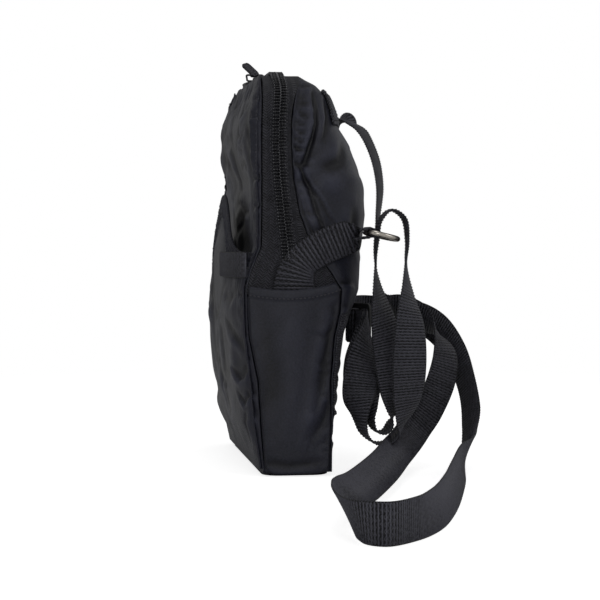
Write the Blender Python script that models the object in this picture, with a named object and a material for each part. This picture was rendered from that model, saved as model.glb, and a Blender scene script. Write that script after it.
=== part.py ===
"""Small nylon shoulder bag, built as separate pieces: cloth shell, zip with its slider, open pockets,
webbing loops with metal rings, and one flat shoulder strap. Metres, +Z up, the front faces -Y.

The near end panel is at +X. The origin is on the floor under the middle of the end panels.
"""
import math

import bpy
import numpy as np

MM = 0.001

# Whole bag
BAG_WIDTH = 170 * MM
BAG_HEIGHT = 231 * MM
CORNER_RADIUS = 30 * MM
CLOTH = 1.2 * MM
GAP = 0.3 * MM
SEAM_GAP = 0.7 * MM
BASE_THICK = 2.0 * MM
BASE_INSET = 4.0 * MM

# Depth of the bag from front to back, read as shares of these sizes by height
FRONT_DEPTH = 30 * MM
BACK_DEPTH = 45 * MM
ZIP_LINE_Y = -10 * MM
PANEL_COLUMNS = 14
CORNER_ROWS = 5
CROWN_POWER = 4.5
CROWN_ROUND = 2.4

# Zip
TAPE_HALF = 9.6 * MM
TAPE_THICK = 0.8 * MM
ZIP_START_HEIGHT = 121 * MM
TOOTH_PITCH = 2.5 * MM
TOOTH_ROW = 4.6 * MM
TOOTH_REACH = 0.9 * MM
TOOTH_HEIGHT = 2.4 * MM
TOOTH_CLEAR = 0.35 * MM
ZIP_FAR_END = 50 * MM
END_COVER_LENGTH = 9 * MM
END_COVER_THICK = 1.0 * MM

# Zip slider, puller and tab
SLIDER_LENGTH = 17 * MM
SLIDER_FRONT = 15.5 * MM
SLIDER_REAR = 13.4 * MM
SLIDER_ROOF = 1.5 * MM
SLIDER_REST_X = -40 * MM
CROWN_LENGTH = 9 * MM
CROWN_WIDTH = 3.4 * MM
CROWN_WALL = 1.1 * MM
CROWN_CLEAR = 2.4 * MM
LINK_WIRE = 1.3 * MM
LINK_WIDTH = 12 * MM
LINK_LENGTH = 8 * MM
TAB_WIDTH = 5.6 * MM
TAB_LENGTH = 12 * MM
TAB_THICK = 1.6 * MM
TAB_LEAN_DEG = 28
PULLER_REST_DEG = 50

# Side pockets
POCKET_BOTTOM = 5 * MM
POCKET_TOP = 110 * MM
POCKET_HEM = 6 * MM
POCKET_HEM_EXTRA = 0.5 * MM
POCKET_CROWN = 4.0 * MM
POCKET_MARGIN = 1.2 * MM

# Front pocket
MOUTH_LOW = 128 * MM
MOUTH_HIGH = 156 * MM
MOUTH_POWER = 2.6
FRONT_POCKET_DEPTH = 38 * MM
FRONT_POCKET_BOTTOM = 12 * MM
FRONT_POCKET_REACH = 0.96
BAND_HEIGHT = 13 * MM
BAND_EXTRA = 0.6 * MM
POCKET_LIFT = 2.1 * MM

# Lining
LINING_THICK = 0.6 * MM
LINING_DROP = 27 * MM
LINING_CLEAR = 1.3 * MM

# Rings and the loops that hold them
WEB_WIDTH = 20 * MM
WEB_THICK = 1.6 * MM
WEB_STEPS = 8
RING_WIRE = 3.0 * MM
RING_INSIDE = 22 * MM
RING_DEPTH = 20 * MM
RING_TILT_DEG = 13
RING_BAR_OUT = 5 * MM
RING_BAR_X = BAG_WIDTH / 2 + RING_BAR_OUT
RING_BAR_Y = 39.2 * MM
RING_BAR_Z = 139.5 * MM
EYE_CLEAR = 0.4 * MM
EYE_WALL = 1.3 * MM
EYE_LENGTH = 18 * MM
ANCHOR_FOOT_Y = -3.5 * MM
ANCHOR_FOOT_Z = 97 * MM

# The webbing crosses the end just under the ring's bar, and the zip's teeth start above it
TEETH_BELOW_BAR = 2.5 * MM
TEETH_START_HEIGHT = RING_BAR_Z - TEETH_BELOW_BAR

# Webbing patch on the back top edge
PATCH_THICK = 1.6 * MM
PATCH_X_SHARES = (0.60, 0.86)
PATCH_DROP = 11 * MM
PATCH_TALL = 17 * MM

# Shoulder strap and its adjuster
STRAP_WIDTH = 20 * MM
STRAP_THICK = 1.0 * MM
STRAP_STEPS = 4
STRAP_FLOOR_GAP = 0.4 * MM
ADJUSTER_X = 50 * MM
ADJUSTER_Y = 41.9 * MM
ADJUSTER_Z = 84 * MM
ADJUSTER_BAR = 1.6 * MM
ADJUSTER_SLOT = 7.8 * MM
ADJUSTER_SIDE = 3.2 * MM
ADJUSTER_TURN_DEG = 25

# Heights, and how deep the cloth stands there: seams at the end panels, and the middle of each face
HEIGHT_SHARES = (
    0.011, 0.061, 0.13, 0.238, 0.346, 0.411, 0.463, 0.511, 0.567, 0.649, 0.74, 0.823, 0.874,
    0.909, 0.944, 0.974, 1.0,
)
FRONT_SEAM_SHARES = (
    0.68, 0.7, 0.74, 0.793, 0.967, 1.0, 1.02, 0.933, 0.733, 0.72, 0.72, 0.72, 0.72, 0.707, 0.693,
    0.68, 0.66,
)
BACK_SEAM_SHARES = (
    0.411, 0.416, 0.422, 0.418, 0.462, 0.54, 0.551, 0.4, 0.178, 0.056, 0.0, 0.0, 0.0, 0.0, 0.0,
    0.0, 0.0,
)
FRONT_MIDDLE_SHARES = (
    0.7, 0.8, 0.933, 1.033, 1.05, 1.05, 1.033, 0.95, 0.827, 0.833, 0.833, 0.983, 1.0, 0.95,
    0.833, 0.733, 0.66,
)
BACK_MIDDLE_SHARES = (
    0.467, 0.467, 0.489, 0.578, 0.678, 0.767, 0.851, 0.889, 0.944, 1.0, 0.967, 0.796, 0.656,
    0.633, 0.556, 0.356, 0.0,
)
POCKET_MIDDLE_SHARES = (
    0.605, 0.684, 0.842, 0.921, 0.974, 1.0, 0.987, 0.974, 0.974, 0.921, 0.895, 0.895, 0.895,
    0.895, 0.895, 0.895, 0.895,
)

# The strap's hand-laid route, in millimetres: a point on its middle line, then the way its width points.
# It starts at the sewn end round the adjuster's middle bar, goes down, up through the near ring, down
# again, back through the adjuster, round behind the bag, along the floor, up in an arc, to the far ring.
STRAP_ROUTE = (
    (60.0, 40.9, 84.0, 0, 0, -1),
    (57.0, 40.8, 84.0, 0, 0, -1),
    (52.0, 39.9, 84.0, 0, 0, -1),
    (49.9, 39.8, 84.0, 0, 0, -1),
    (47.9, 41.9, 84.0, 0, 0, -1),
    (49.9, 44.0, 84.0, 0, 0, -1),
    (52.0, 43.8, 84.0, 0, 0, -1),
    (58.5, 42.4, 84.0, 0, 0, -1),
    (66.2, 41.5, 82.4, -0.40, 0.24, -0.89),
    (72.1, 39.0, 75.6, -0.53, 0.65, -0.54),
    (76.1, 37.3, 65.4, -0.18, 0.95, -0.25),
    (79.6, 36.6, 55.4, 0.13, 0.99, -0.08),
    (82.6, 37.9, 46.0, 0.45, 0.9, 0),
    (85.3, 39.8, 38.0, 0.85, 0.5, 0),
    (87.0, 41.4, 31.0, 1, 0.1, 0),
    (87.6, 43.8, 26.0, 1, 0, 0),
    (88.0, 48.5, 25.0, 1, 0, 0),
    (88.6, 52.6, 30.0, 1, 0, 0),
    (89.0, 54.4, 38.5, 0.8, -0.6, 0),
    (89.0, 54.3, 50.0, 0.4, -0.9, 0),
    (88.5, 51.6, 72.0, 0.25, -1, 0),
    (89.5, 47.8, 90.5, 0.6, -0.8, 0),
    (90.0, 44.3, 109.5, 0.95, -0.4, 0),
    (90.0, 43.3, 124.0, 1, -0.15, 0),
    (90.0, 44.2, 136.5, 1, -0.05, 0),
    (90.0, 46.0, 145.5, 1, -0.05, 0),
    (90.3, 51.4, 150.6, 1, -0.05, 0),
    (90.6, 56.9, 146.0, 1, -0.05, 0),
    (91.0, 60.0, 134.5, 1, -0.1, 0),
    (93.0, 60.6, 122.7, 1, -0.2, 0),
    (97.5, 60.8, 105.8, 0.85, -0.5, 0),
    (102.5, 60.9, 87.2, 0.4, -0.9, 0),
    (103.5, 60.6, 66.0, 0.1, -1, 0),
    (100.0, 60.5, 48.0, 0.35, -0.93, 0),
    (95.5, 59.3, 34.0, 0.8, -0.6, 0),
    (92.3, 56.8, 25.0, 1, -0.1, 0),
    (90.5, 51.0, 19.6, 1, 0, 0),
    (89.2, 43.2, 19.2, 1, 0, 0),
    (88.4, 37.2, 24.5, 1, 0.1, 0),
    (88.4, 35.0, 32.0, 1, 0.25, 0),
    (88.2, 34.4, 38.5, 0.85, 0.5, 0),
    (86.4, 34.6, 46.5, 0.45, 0.9, 0),
    (83.2, 36.2, 56.6, 0.13, 0.99, -0.08),
    (79.5, 38.3, 66.6, -0.18, 0.95, -0.25),
    (74.3, 41.4, 76.4, -0.53, 0.65, -0.54),
    (66.8, 43.9, 82.8, -0.40, 0.24, -0.89),
    (58.5, 44.1, 84.0, 0, 0, -1),
    (50.0, 45.5, 84.0, 0, 0, -1),
    (45.8, 43.2, 84.0, 0, 0, -1),
    (44.2, 38.4, 84.2, 0, 0, -1),
    (41.6, 35.9, 84.3, 0, 0, -1),
    (36.0, 36.0, 84.8, 0, 0, -1),
    (14.0, 42.5, 88.5, 0, 0, -1),
    (-12.0, 46.0, 90.0, 0, 0, -1),
    (-23.0, 58.0, 90.5, 0, 0, -1),
    (-8.6, 79.0, 88.3, 0, 0, -1),
    (1.1, 89.8, 86.1, -0.1, -0.1, -1),
    (12.4, 98.1, 79.7, -0.3, -0.3, -0.8),
    (25.6, 105.8, 65.6, -0.8, -0.45, -0.4),
    (38.3, 109.7, 46.9, -0.9, -0.3, -0.1),
    (50.4, 109.3, 30.0, -0.95, -0.25, 0),
    (61.0, 105.6, 17.5, -0.9, -0.2, -0.45),
    (80.0, 99.5, 11.8, -0.35, -0.3, -0.9),
    (112.0, 89.7, 10.6, 0.0, 0.1, -1),
    (171.4, 72.7, 10.4, 0.08, 0.25, -0.97),
    (242.1, 51.4, 10.4, 0, 0.3, -0.95),
    (285.2, 35.3, 10.4, 0, 0.25, -1),
    (312.3, 20.1, 10.6, 0, 0.05, -1),
    (325.3, 4.8, 10.6, 0, 0, -1),
    (317.7, -5.8, 10.6, 0, 0.2, -1),
    (296.1, -8.3, 11.2, 0, 0.4, -0.9),
    (278.1, -7.1, 14.6, 0, 0.55, -0.8),
    (266.9, -0.5, 19.9, 0.3, 0.6, -0.6),
    (254.3, 10.4, 25.7, 0.4, 0.6, -0.55),
    (216.9, 31.1, 34.6, 0.4, 0.6, -0.55),
    (168.6, 53.2, 45.3, 0.2, 0.65, -0.55),
    (111.1, 75.3, 57.6, -0.4, 0.6, -0.5),
    (75.6, 88.0, 67.7, -0.8, 0.45, -0.4),
    (52.6, 89.6, 78.1, -0.7, 0.3, -0.7),
    (36.6, 84.0, 86.4, -0.2, 0, -1),
    (26.9, 73.0, 91.6, -0.5, 0, -0.8),
    (21.4, 62.9, 97.5, -1, 0.05, -0.2),
    (18.7, 57.8, 107.9, -1, 0.08, 0),
    (16.6, 57.5, 126.2, -1, 0.08, 0),
    (12.8, 59.2, 147.7, -1, 0.08, 0),
    (9.1, 61.1, 169.4, -1, 0.08, 0),
    (2.6, 58.2, 189.4, -1, 0.08, 0),
    (-6.5, 51.3, 204.7, -1, 0.08, 0),
    (-17.8, 42.8, 210.1, -1, 0.12, 0),
    (-33.0, 41.5, 204.0, -1, 0.2, 0),
    (-52.0, 46.0, 187.0, -1, 0.25, -0.2),
    (-70.0, 51.0, 167.0, -1, 0.15, -0.1),
    (-85.0, 53.0, 152.0, -1, 0.1, 0),
    (-89.5, 59.0, 145.0, -1, 0, 0),
    (-90.0, 60.0, 135.5, -1, 0, 0),
    (-90.0, 57.5, 126.5, -1, 0, 0),
    (-90.0, 50.5, 123.5, -1, 0, 0),
    (-90.0, 45.6, 129.5, -1, 0, 0),
    (-90.0, 44.6, 138.5, -1, 0, 0),
    (-90.0, 45.8, 146.0, -1, 0, 0),
)


def clear_scene():
    """Start from an empty file."""
    for old in list(bpy.data.objects):
        bpy.data.objects.remove(old, do_unlink=True)


def material(name, colour, roughness, metallic=0.0):
    """A Principled material in one plain colour."""
    made = bpy.data.materials.new(name)
    made.use_nodes = True
    shader = made.node_tree.nodes["Principled BSDF"]
    shader.inputs["Base Color"].default_value = (*colour, 1.0)
    shader.inputs["Roughness"].default_value = roughness
    shader.inputs["Metallic"].default_value = metallic
    return made


def add_object(name, vertices, faces, finish, smooth=True):
    """One closed piece, with its faces turned outwards."""
    mesh = bpy.data.meshes.new(name)
    mesh.from_pydata([tuple(map(float, v)) for v in vertices], [], faces)
    mesh.validate()
    piece = bpy.data.objects.new(name, mesh)
    bpy.context.scene.collection.objects.link(piece)
    mesh.materials.append(finish)
    turn_outwards(mesh)
    if smooth:
        mesh.shade_smooth()
        mesh.set_sharp_from_angle(angle=math.radians(40))
    return piece


def turn_outwards(mesh):
    """Turn the whole shell round when its volume comes out negative."""
    mesh.calc_loop_triangles()
    place = [v.co for v in mesh.vertices]
    volume = sum(
        place[t.vertices[0]].dot(place[t.vertices[1]].cross(place[t.vertices[2]])) for t in mesh.loop_triangles
    )
    if volume < 0:
        mesh.flip_normals()


def sheet(name, outer, inner, finish):
    """A closed sheet between two grids of points of the same shape."""
    rows, columns = outer.shape[:2]
    count = rows * columns
    vertices = np.vstack([outer.reshape(-1, 3), inner.reshape(-1, 3)])
    faces = []
    for r in range(rows - 1):
        for c in range(columns - 1):
            a = r * columns + c
            quad = (a, a + 1, a + columns + 1, a + columns)
            faces.append(quad)
            faces.append(tuple(count + v for v in reversed(quad)))
    rim = [c for c in range(columns)]
    rim += [r * columns + columns - 1 for r in range(1, rows)]
    rim += [(rows - 1) * columns + c for c in range(columns - 2, -1, -1)]
    rim += [r * columns for r in range(rows - 2, 0, -1)]
    for here, there in zip(rim, rim[1:] + rim[:1]):
        faces.append((here, here + count, there + count, there))
    return add_object(name, vertices, faces, finish)


def normals(grid):
    """Unit normals of a grid of points, from its own rows and columns."""
    along = np.gradient(grid, axis=0)
    across = np.gradient(grid, axis=1)
    out = np.cross(across, along)
    size = np.linalg.norm(out, axis=2, keepdims=True)
    return out / size


def share_at(height, shares):
    """Read a table of shares at a height of the bag."""
    return np.interp(height / BAG_HEIGHT, HEIGHT_SHARES, shares)


def front_seam(height):
    return -FRONT_DEPTH * share_at(height, FRONT_SEAM_SHARES)


def back_seam(height):
    return BACK_DEPTH * share_at(height, BACK_SEAM_SHARES)


def front_middle(height):
    return -FRONT_DEPTH * share_at(height, FRONT_MIDDLE_SHARES)


def back_middle(height):
    return BACK_DEPTH * share_at(height, BACK_MIDDLE_SHARES)


def half_width(height):
    """Half the bag's width at a height: straight sides, then the round top corner."""
    above = max(height - (BAG_HEIGHT - CORNER_RADIUS), 0.0)
    inside = max(CORNER_RADIUS**2 - above**2, 0.0)
    return BAG_WIDTH / 2 - CORNER_RADIUS + math.sqrt(inside)


def crown(share):
    """How far a face has risen from its seam (0) to its middle (1)."""
    return (1 - abs(share) ** CROWN_POWER) ** (1 / CROWN_ROUND)


def front_surface(share, height):
    seam = front_seam(height)
    return seam + (front_middle(height) - seam) * crown(share)


def back_surface(share, height):
    seam = back_seam(height)
    return seam + (back_middle(height) - seam) * crown(share)


def panel_heights():
    """Rows from the base up the straight side, then closer round the top corner."""
    corner = BAG_HEIGHT - CORNER_RADIUS
    low = BASE_THICK + GAP
    straight = [low] + [share * BAG_HEIGHT for share in HEIGHT_SHARES if low < share * BAG_HEIGHT < corner]
    turn = [corner + CORNER_RADIUS * math.sin(math.pi / 2 * k / CORNER_ROWS) for k in range(CORNER_ROWS + 1)]
    return straight + turn


def panel_shares():
    """Columns across a face, closer together towards the two seams."""
    return [math.sin(math.pi / 2 * (2 * k / PANEL_COLUMNS - 1)) for k in range(PANEL_COLUMNS + 1)]


def face_panel(name, surface, seam, finish):
    """The front or back cloth, from seam to seam. Its inner face stays clear of the end strips."""
    grid = [
        [(half_width(z) * s, surface(s, z), z) for s in panel_shares()]
        for z in panel_heights()
    ]
    outer = np.array(grid)
    out = normals(outer)
    if outer[len(grid) // 2, PANEL_COLUMNS // 2, 1] * out[len(grid) // 2, PANEL_COLUMNS // 2, 1] < 0:
        out = -out
    out[:, 0] = (-1, 0, 0)
    out[:, -1] = (1, 0, 0)
    for row, z in enumerate(panel_heights()):
        rise = max(z - (BAG_HEIGHT - CORNER_RADIUS), 0.0) / CORNER_RADIUS
        edge = math.sqrt(max(1 - rise * rise, 0.0))
        out[row, 0] = (-edge, 0, rise)
        out[row, -1] = (edge, 0, rise)
    out[-1] = (0, 0, 1)
    inner = outer - CLOTH * out
    facing = math.copysign(1.0, surface(0.0, BAG_HEIGHT / 2))
    limits = np.array([facing * seam(z) - SEAM_GAP / 3 for z in panel_heights()])
    inner[:, :, 1] = facing * np.maximum(facing * inner[:, :, 1], limits[:, None])
    return sheet(name, outer, inner, finish)


def rim_length():
    """Length along the end panel and round the corner, from the base to the far end of the zip."""
    up = BAG_HEIGHT - CORNER_RADIUS
    return up + CORNER_RADIUS * math.pi / 2 + (BAG_WIDTH / 2 - CORNER_RADIUS) + ZIP_FAR_END


def far_rim_length():
    """Length along the other end and round its corner, from the base to the far end of the zip."""
    up = BAG_HEIGHT - CORNER_RADIUS
    return up + CORNER_RADIUS * math.pi / 2 + (BAG_WIDTH / 2 - CORNER_RADIUS) - ZIP_FAR_END - GAP


def rim_point(length, lift, side):
    """A point of the band that runs up an end and over the top, lifted off it, and its height."""
    up = BAG_HEIGHT - CORNER_RADIUS
    turn = CORNER_RADIUS * math.pi / 2
    if length <= up:
        return side * (BAG_WIDTH / 2 + lift), length
    if length <= up + turn:
        angle = (length - up) / CORNER_RADIUS
        reach = CORNER_RADIUS + lift
        x = BAG_WIDTH / 2 - CORNER_RADIUS + reach * math.cos(angle)
        return side * x, up + reach * math.sin(angle)
    past = length - up - turn
    return side * (BAG_WIDTH / 2 - CORNER_RADIUS - past), BAG_HEIGHT + lift


def rim_stations(start, end, step):
    """Lengths along the rim: sparse on straight runs, closer round the corner."""
    up = BAG_HEIGHT - CORNER_RADIUS
    turn = CORNER_RADIUS * math.pi / 2
    marks = {start, end}
    marks.update(z for z in (share * BAG_HEIGHT for share in HEIGHT_SHARES) if start < z < min(end, up))
    marks.update(up + turn * k / CORNER_ROWS for k in range(CORNER_ROWS + 1) if start < up + turn * k / CORNER_ROWS < end)
    straight = [m for m in np.arange(up + turn + step, end - step / 2, step)]
    marks.update(straight)
    return sorted(marks)


def rim_strip(name, stations, low_edge, high_edge, lift, thick, side, finish, columns=2):
    """A strip of cloth along the rim between two edges given by height."""
    outer = []
    inner = []
    for length in stations:
        height = min(length, BAG_HEIGHT)
        ys = np.linspace(low_edge(height), high_edge(height), columns + 1)
        x_out, z_out = rim_point(length, lift, side)
        x_in, z_in = rim_point(length, lift - thick, side)
        outer.append([(x_out, y, z_out) for y in ys])
        inner.append([(x_in, y, z_in) for y in ys])
    return sheet(name, np.array(outer), np.array(inner), finish)


def base_panel(finish):
    """The flat cloth base, on which the bag stands."""
    low = HEIGHT_SHARES[0] * BAG_HEIGHT
    x = BAG_WIDTH / 2 - BASE_INSET
    front = front_seam(low)
    back = back_seam(low)
    corner = (back - front) / 4
    outline = []
    centres = ((x - corner, back - corner, 0), (corner - x, back - corner, 1))
    centres += ((corner - x, front + corner, 2), (x - corner, front + corner, 3))
    for cx, cy, quarter in centres:
        for k in range(CORNER_ROWS + 1):
            angle = math.pi / 2 * (quarter + k / CORNER_ROWS)
            outline.append((cx + corner * math.cos(angle), cy + corner * math.sin(angle)))
    count = len(outline)
    vertices = [(px, py, 0.0) for px, py in outline] + [(px, py, BASE_THICK) for px, py in outline]
    faces = [tuple(reversed(range(count))), tuple(range(count, 2 * count))]
    for k in range(count):
        after = (k + 1) % count
        faces.append((k, after, after + count, k + count))
    return add_object("base_panel", vertices, faces, finish)


def lining(finish):
    """The thin inner bag, open at the top under the zip."""
    around = 24
    heights = [BASE_THICK + LINING_CLEAR + GAP, 0.1 * BAG_HEIGHT, 0.3 * BAG_HEIGHT, 0.45 * BAG_HEIGHT]
    heights += [0.56 * BAG_HEIGHT, 0.7 * BAG_HEIGHT, BAG_HEIGHT - LINING_DROP]

    def section(height, inset):
        ring = []
        for k in range(around):
            angle = 2 * math.pi * k / around
            cos = math.copysign(abs(math.cos(angle)) ** 0.35, math.cos(angle))
            sin = math.sin(angle)
            x = (half_width(height) - CLOTH - inset) * cos
            share = min(abs(cos), 1.0)
            front = front_surface(share, height) + CLOTH + inset
            back = back_surface(share, height) - CLOTH - inset
            middle = (front + back) / 2
            ring.append((x, middle + (back - front) / 2 * math.copysign(abs(sin) ** 0.6, sin), height))
        return ring

    outer = [section(z, LINING_CLEAR) for z in heights]
    inner = [section(z, LINING_CLEAR + LINING_THICK) for z in heights]
    inner[0] = [(x, y, z + LINING_THICK) for x, y, z in inner[0]]
    vertices = [v for ring in outer + inner for v in ring]
    levels = len(heights)
    faces = [tuple(reversed(range(around))), tuple(levels * around + k for k in range(around))]
    for level in range(levels - 1):
        for k in range(around):
            after = (k + 1) % around
            a = level * around + k
            b = level * around + after
            faces.append((a, b, b + around, a + around))
            shift = levels * around
            faces.append((a + shift, a + around + shift, b + around + shift, b + shift))
    for k in range(around):
        after = (k + 1) % around
        top = (levels - 1) * around
        shift = levels * around
        faces.append((top + k, top + after, top + after + shift, top + k + shift))
    return add_object("lining", vertices, faces, finish)


def zip_tapes(finish):
    """Two cloth tapes, edge to edge under the teeth, spreading to the end panel's seams at their foot."""
    end = rim_length()
    stations = rim_stations(ZIP_START_HEIGHT, end, TOOTH_PITCH * 12)

    def front_edge(height):
        return front_seam(height) + SEAM_GAP

    def back_edge(height):
        return back_seam(height) - SEAM_GAP

    rim_strip(
        "zip_tape_front", stations, front_edge, lambda h: ZIP_LINE_Y - GAP / 2, 0.0, TAPE_THICK, 1, finish
    )
    rim_strip(
        "zip_tape_back", stations, lambda h: ZIP_LINE_Y + GAP / 2, back_edge, 0.0, TAPE_THICK, 1, finish
    )


def zip_teeth(name, towards, shift, finish):
    """One row of meshed teeth: a bar along the rim whose inner edge runs in and out."""
    start = TEETH_START_HEIGHT
    end = rim_length() - END_COVER_LENGTH / 3
    count = int((end - start) / TOOTH_PITCH)
    low = GAP
    high = GAP + TOOTH_HEIGHT
    vertices = []
    for k in range(2 * count + 1):
        length = start + TOOTH_PITCH * k / 2
        inwards = TOOTH_REACH if (k + shift) % 2 else -TOOTH_REACH
        inner = ZIP_LINE_Y + towards * (TOOTH_CLEAR - inwards)
        outer = ZIP_LINE_Y + towards * TOOTH_ROW
        for y, lift in ((outer, low), (outer, high), (inner, high), (inner, low)):
            x, z = rim_point(length, lift, 1)
            vertices.append((x, y, z))
    faces = [(0, 1, 2, 3)]
    for k in range(2 * count):
        for c in range(4):
            after = (c + 1) % 4
            a = 4 * k + c
            b = 4 * k + after
            faces.append((a, a + 4, b + 4, b))
    last = 8 * count
    faces.append((last + 3, last + 2, last + 1, last))
    return add_object(name, vertices, faces, finish, smooth=False)


def extrude_outline(name, points, low, high, axis, finish):
    """A flat outline pushed along X, Y or Z between two places."""
    order = {"X": (2, 0, 1), "Y": (0, 2, 1), "Z": (0, 1, 2)}[axis]

    def place(a, b, along):
        triple = (a, b, along)
        return tuple(triple[i] for i in order)

    count = len(points)
    vertices = [place(a, b, low) for a, b in points] + [place(a, b, high) for a, b in points]
    faces = [tuple(range(count)), tuple(reversed(range(count, 2 * count)))]
    for k in range(count):
        after = (k + 1) % count
        faces.append((k, k + count, after + count, after))
    return add_object(name, vertices, faces, finish, smooth=False)


def cut_or_join(piece, tool, operation):
    """A Boolean with a guide that is left out of the bag itself."""
    modifier = piece.modifiers.new(tool.name, "BOOLEAN")
    modifier.operation = operation
    modifier.object = tool
    modifier.solver = "EXACT"
    tool.hide_render = True
    tool.display_type = "WIRE"


def box_outline(low_a, high_a, low_b, high_b):
    return [(low_a, low_b), (high_a, low_b), (high_a, high_b), (low_a, high_b)]


def zip_slider(finish):
    """The slider's roof and side walls, which ride over the teeth, and the arch that holds the puller."""
    front = SLIDER_REST_X - SLIDER_LENGTH / 2
    rear = SLIDER_REST_X + SLIDER_LENGTH / 2
    waist = SLIDER_REST_X - SLIDER_LENGTH / 8
    y = ZIP_LINE_Y
    outline = [
        (front + SLIDER_ROOF, y - SLIDER_FRONT / 2),
        (waist, y - SLIDER_FRONT / 2),
        (rear - SLIDER_ROOF, y - SLIDER_REAR / 2),
        (rear, y - SLIDER_REAR / 2 + SLIDER_ROOF),
        (rear, y + SLIDER_REAR / 2 - SLIDER_ROOF),
        (rear - SLIDER_ROOF, y + SLIDER_REAR / 2),
        (waist, y + SLIDER_FRONT / 2),
        (front + SLIDER_ROOF, y + SLIDER_FRONT / 2),
        (front, y + SLIDER_FRONT / 2 - SLIDER_ROOF),
        (front, y - SLIDER_FRONT / 2 + SLIDER_ROOF),
    ]
    floor = BAG_HEIGHT + GAP
    channel_top = BAG_HEIGHT + GAP + TOOTH_HEIGHT + GAP
    roof = channel_top + SLIDER_ROOF
    body = extrude_outline("zip_slider", outline, floor, roof, "Z", finish)
    half = TOOTH_ROW + GAP
    channel = extrude_outline(
        "channel_guide",
        box_outline(front - SLIDER_ROOF, rear + SLIDER_ROOF, y - half, y + half),
        floor - GAP,
        channel_top,
        "Z",
        finish,
    )
    cut_or_join(body, channel, "DIFFERENCE")
    x = SLIDER_REST_X
    inside = CROWN_LENGTH / 2 - CROWN_WALL
    foot = roof - SLIDER_ROOF / 2
    arch = [
        (x - CROWN_LENGTH / 2, foot),
        (x - inside, foot),
        (x - inside, roof + CROWN_CLEAR * 0.7),
        (x - inside + CROWN_WALL, roof + CROWN_CLEAR),
        (x + inside - CROWN_WALL, roof + CROWN_CLEAR),
        (x + inside, roof + CROWN_CLEAR * 0.7),
        (x + inside, foot),
        (x + CROWN_LENGTH / 2, foot),
        (x + CROWN_LENGTH / 2, roof + CROWN_CLEAR * 0.8),
        (x + inside, roof + CROWN_CLEAR + CROWN_WALL),
        (x - inside, roof + CROWN_CLEAR + CROWN_WALL),
        (x - CROWN_LENGTH / 2, roof + CROWN_CLEAR * 0.8),
    ]
    bridge = extrude_outline("arch_guide", arch, y - CROWN_WIDTH / 2, y + CROWN_WIDTH / 2, "Y", finish)
    cut_or_join(body, bridge, "UNION")
    return body


def puller_axis_height():
    """The height of the puller's lower bar, which lies in the slider's arch."""
    roof = BAG_HEIGHT + 2 * GAP + TOOTH_HEIGHT + SLIDER_ROOF
    return roof + GAP + LINK_WIRE / 2 + GAP


def tip_over(piece):
    """Tip a piece of the puller over about its lower bar, towards the zip's closed end."""
    turn = math.radians(-PULLER_REST_DEG)
    x = SLIDER_REST_X
    z = puller_axis_height()
    moved_x = x * math.cos(turn) + z * math.sin(turn)
    moved_z = z * math.cos(turn) - x * math.sin(turn)
    piece.rotation_euler = (0, turn, 0)
    piece.location = (x - moved_x, 0, z - moved_z)


def wire_loop(name, points, radius, finish, sides=2):
    """A closed bent wire, as a round-bevelled curve."""
    data = bpy.data.curves.new(name, "CURVE")
    data.dimensions = "3D"
    data.bevel_depth = radius
    data.bevel_resolution = sides
    spline = data.splines.new("POLY")
    spline.points.add(len(points) - 1)
    for target, place in zip(spline.points, points):
        target.co = (*place, 1.0)
    spline.use_cyclic_u = True
    data.materials.append(finish)
    piece = bpy.data.objects.new(name, data)
    bpy.context.scene.collection.objects.link(piece)
    return piece


def zip_puller(finish):
    """The wire link that swings on the slider's arch."""
    steps = 6
    half = LINK_WIDTH / 2 - LINK_WIRE / 2
    rise = LINK_LENGTH - LINK_WIRE
    corner = LINK_WIRE * 0.9
    z = puller_axis_height()
    points = []
    centres = ((half - corner, rise - corner, 0), (corner - half, rise - corner, 1))
    centres += ((corner - half, corner, 2), (half - corner, corner, 3))
    for cy, cz, quarter in centres:
        for k in range(steps // 2 + 1):
            angle = math.pi / 2 * (quarter + k / (steps // 2))
            y = ZIP_LINE_Y + cy + corner * math.cos(angle)
            points.append((SLIDER_REST_X, y, z + cz + corner * math.sin(angle)))
    link = wire_loop("zip_puller", points, LINK_WIRE / 2, finish)
    tip_over(link)
    return link


def zip_pull_tab(finish):
    """The folded cloth tab that grips the link's upper bar and leans towards the front."""
    bar = puller_axis_height() + LINK_LENGTH - LINK_WIRE
    inner = LINK_WIRE / 2 + GAP
    outer = inner + TAB_THICK / 2
    turn = 8
    profile = []
    for k in range(turn + 1):
        angle = math.radians(-60) - math.radians(240) * k / turn
        profile.append((outer * -math.sin(angle + math.pi / 2), outer * math.cos(angle + math.pi / 2)))
    half = TAB_THICK / 2
    outline = [(SLIDER_REST_X - half, bar + outer), (SLIDER_REST_X - half, bar + TAB_LENGTH)]
    outline += [(SLIDER_REST_X + half, bar + TAB_LENGTH), (SLIDER_REST_X + half, bar + outer)]
    down = 10
    start = math.asin(half / outer)
    for k in range(down + 1):
        angle = start + (2 * math.pi - 2 * start) * k / down
        outline.append((SLIDER_REST_X + outer * math.sin(angle), bar + outer * math.cos(angle)))
    outline = outline[:3] + outline[4:-1] + [outline[-1]]
    width = TAB_WIDTH / 2
    tab = extrude_outline("zip_pull_tab", outline[1:], ZIP_LINE_Y - width, ZIP_LINE_Y + width, "Y", finish)
    ring = [
        (SLIDER_REST_X + inner * math.cos(2 * math.pi * k / turn), bar + inner * math.sin(2 * math.pi * k / turn))
        for k in range(turn)
    ]
    hole = extrude_outline("tab_hole_guide", ring, ZIP_LINE_Y - TAB_WIDTH, ZIP_LINE_Y + TAB_WIDTH, "Y", finish)
    cut_or_join(tab, hole, "DIFFERENCE")
    hole.parent = tab
    tip_over(tab)
    lean = math.tan(math.radians(TAB_LEAN_DEG))
    for vertex in tab.data.vertices:
        vertex.co.y -= max(vertex.co.z - bar - outer, 0.0) * lean
    return tab


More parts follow.
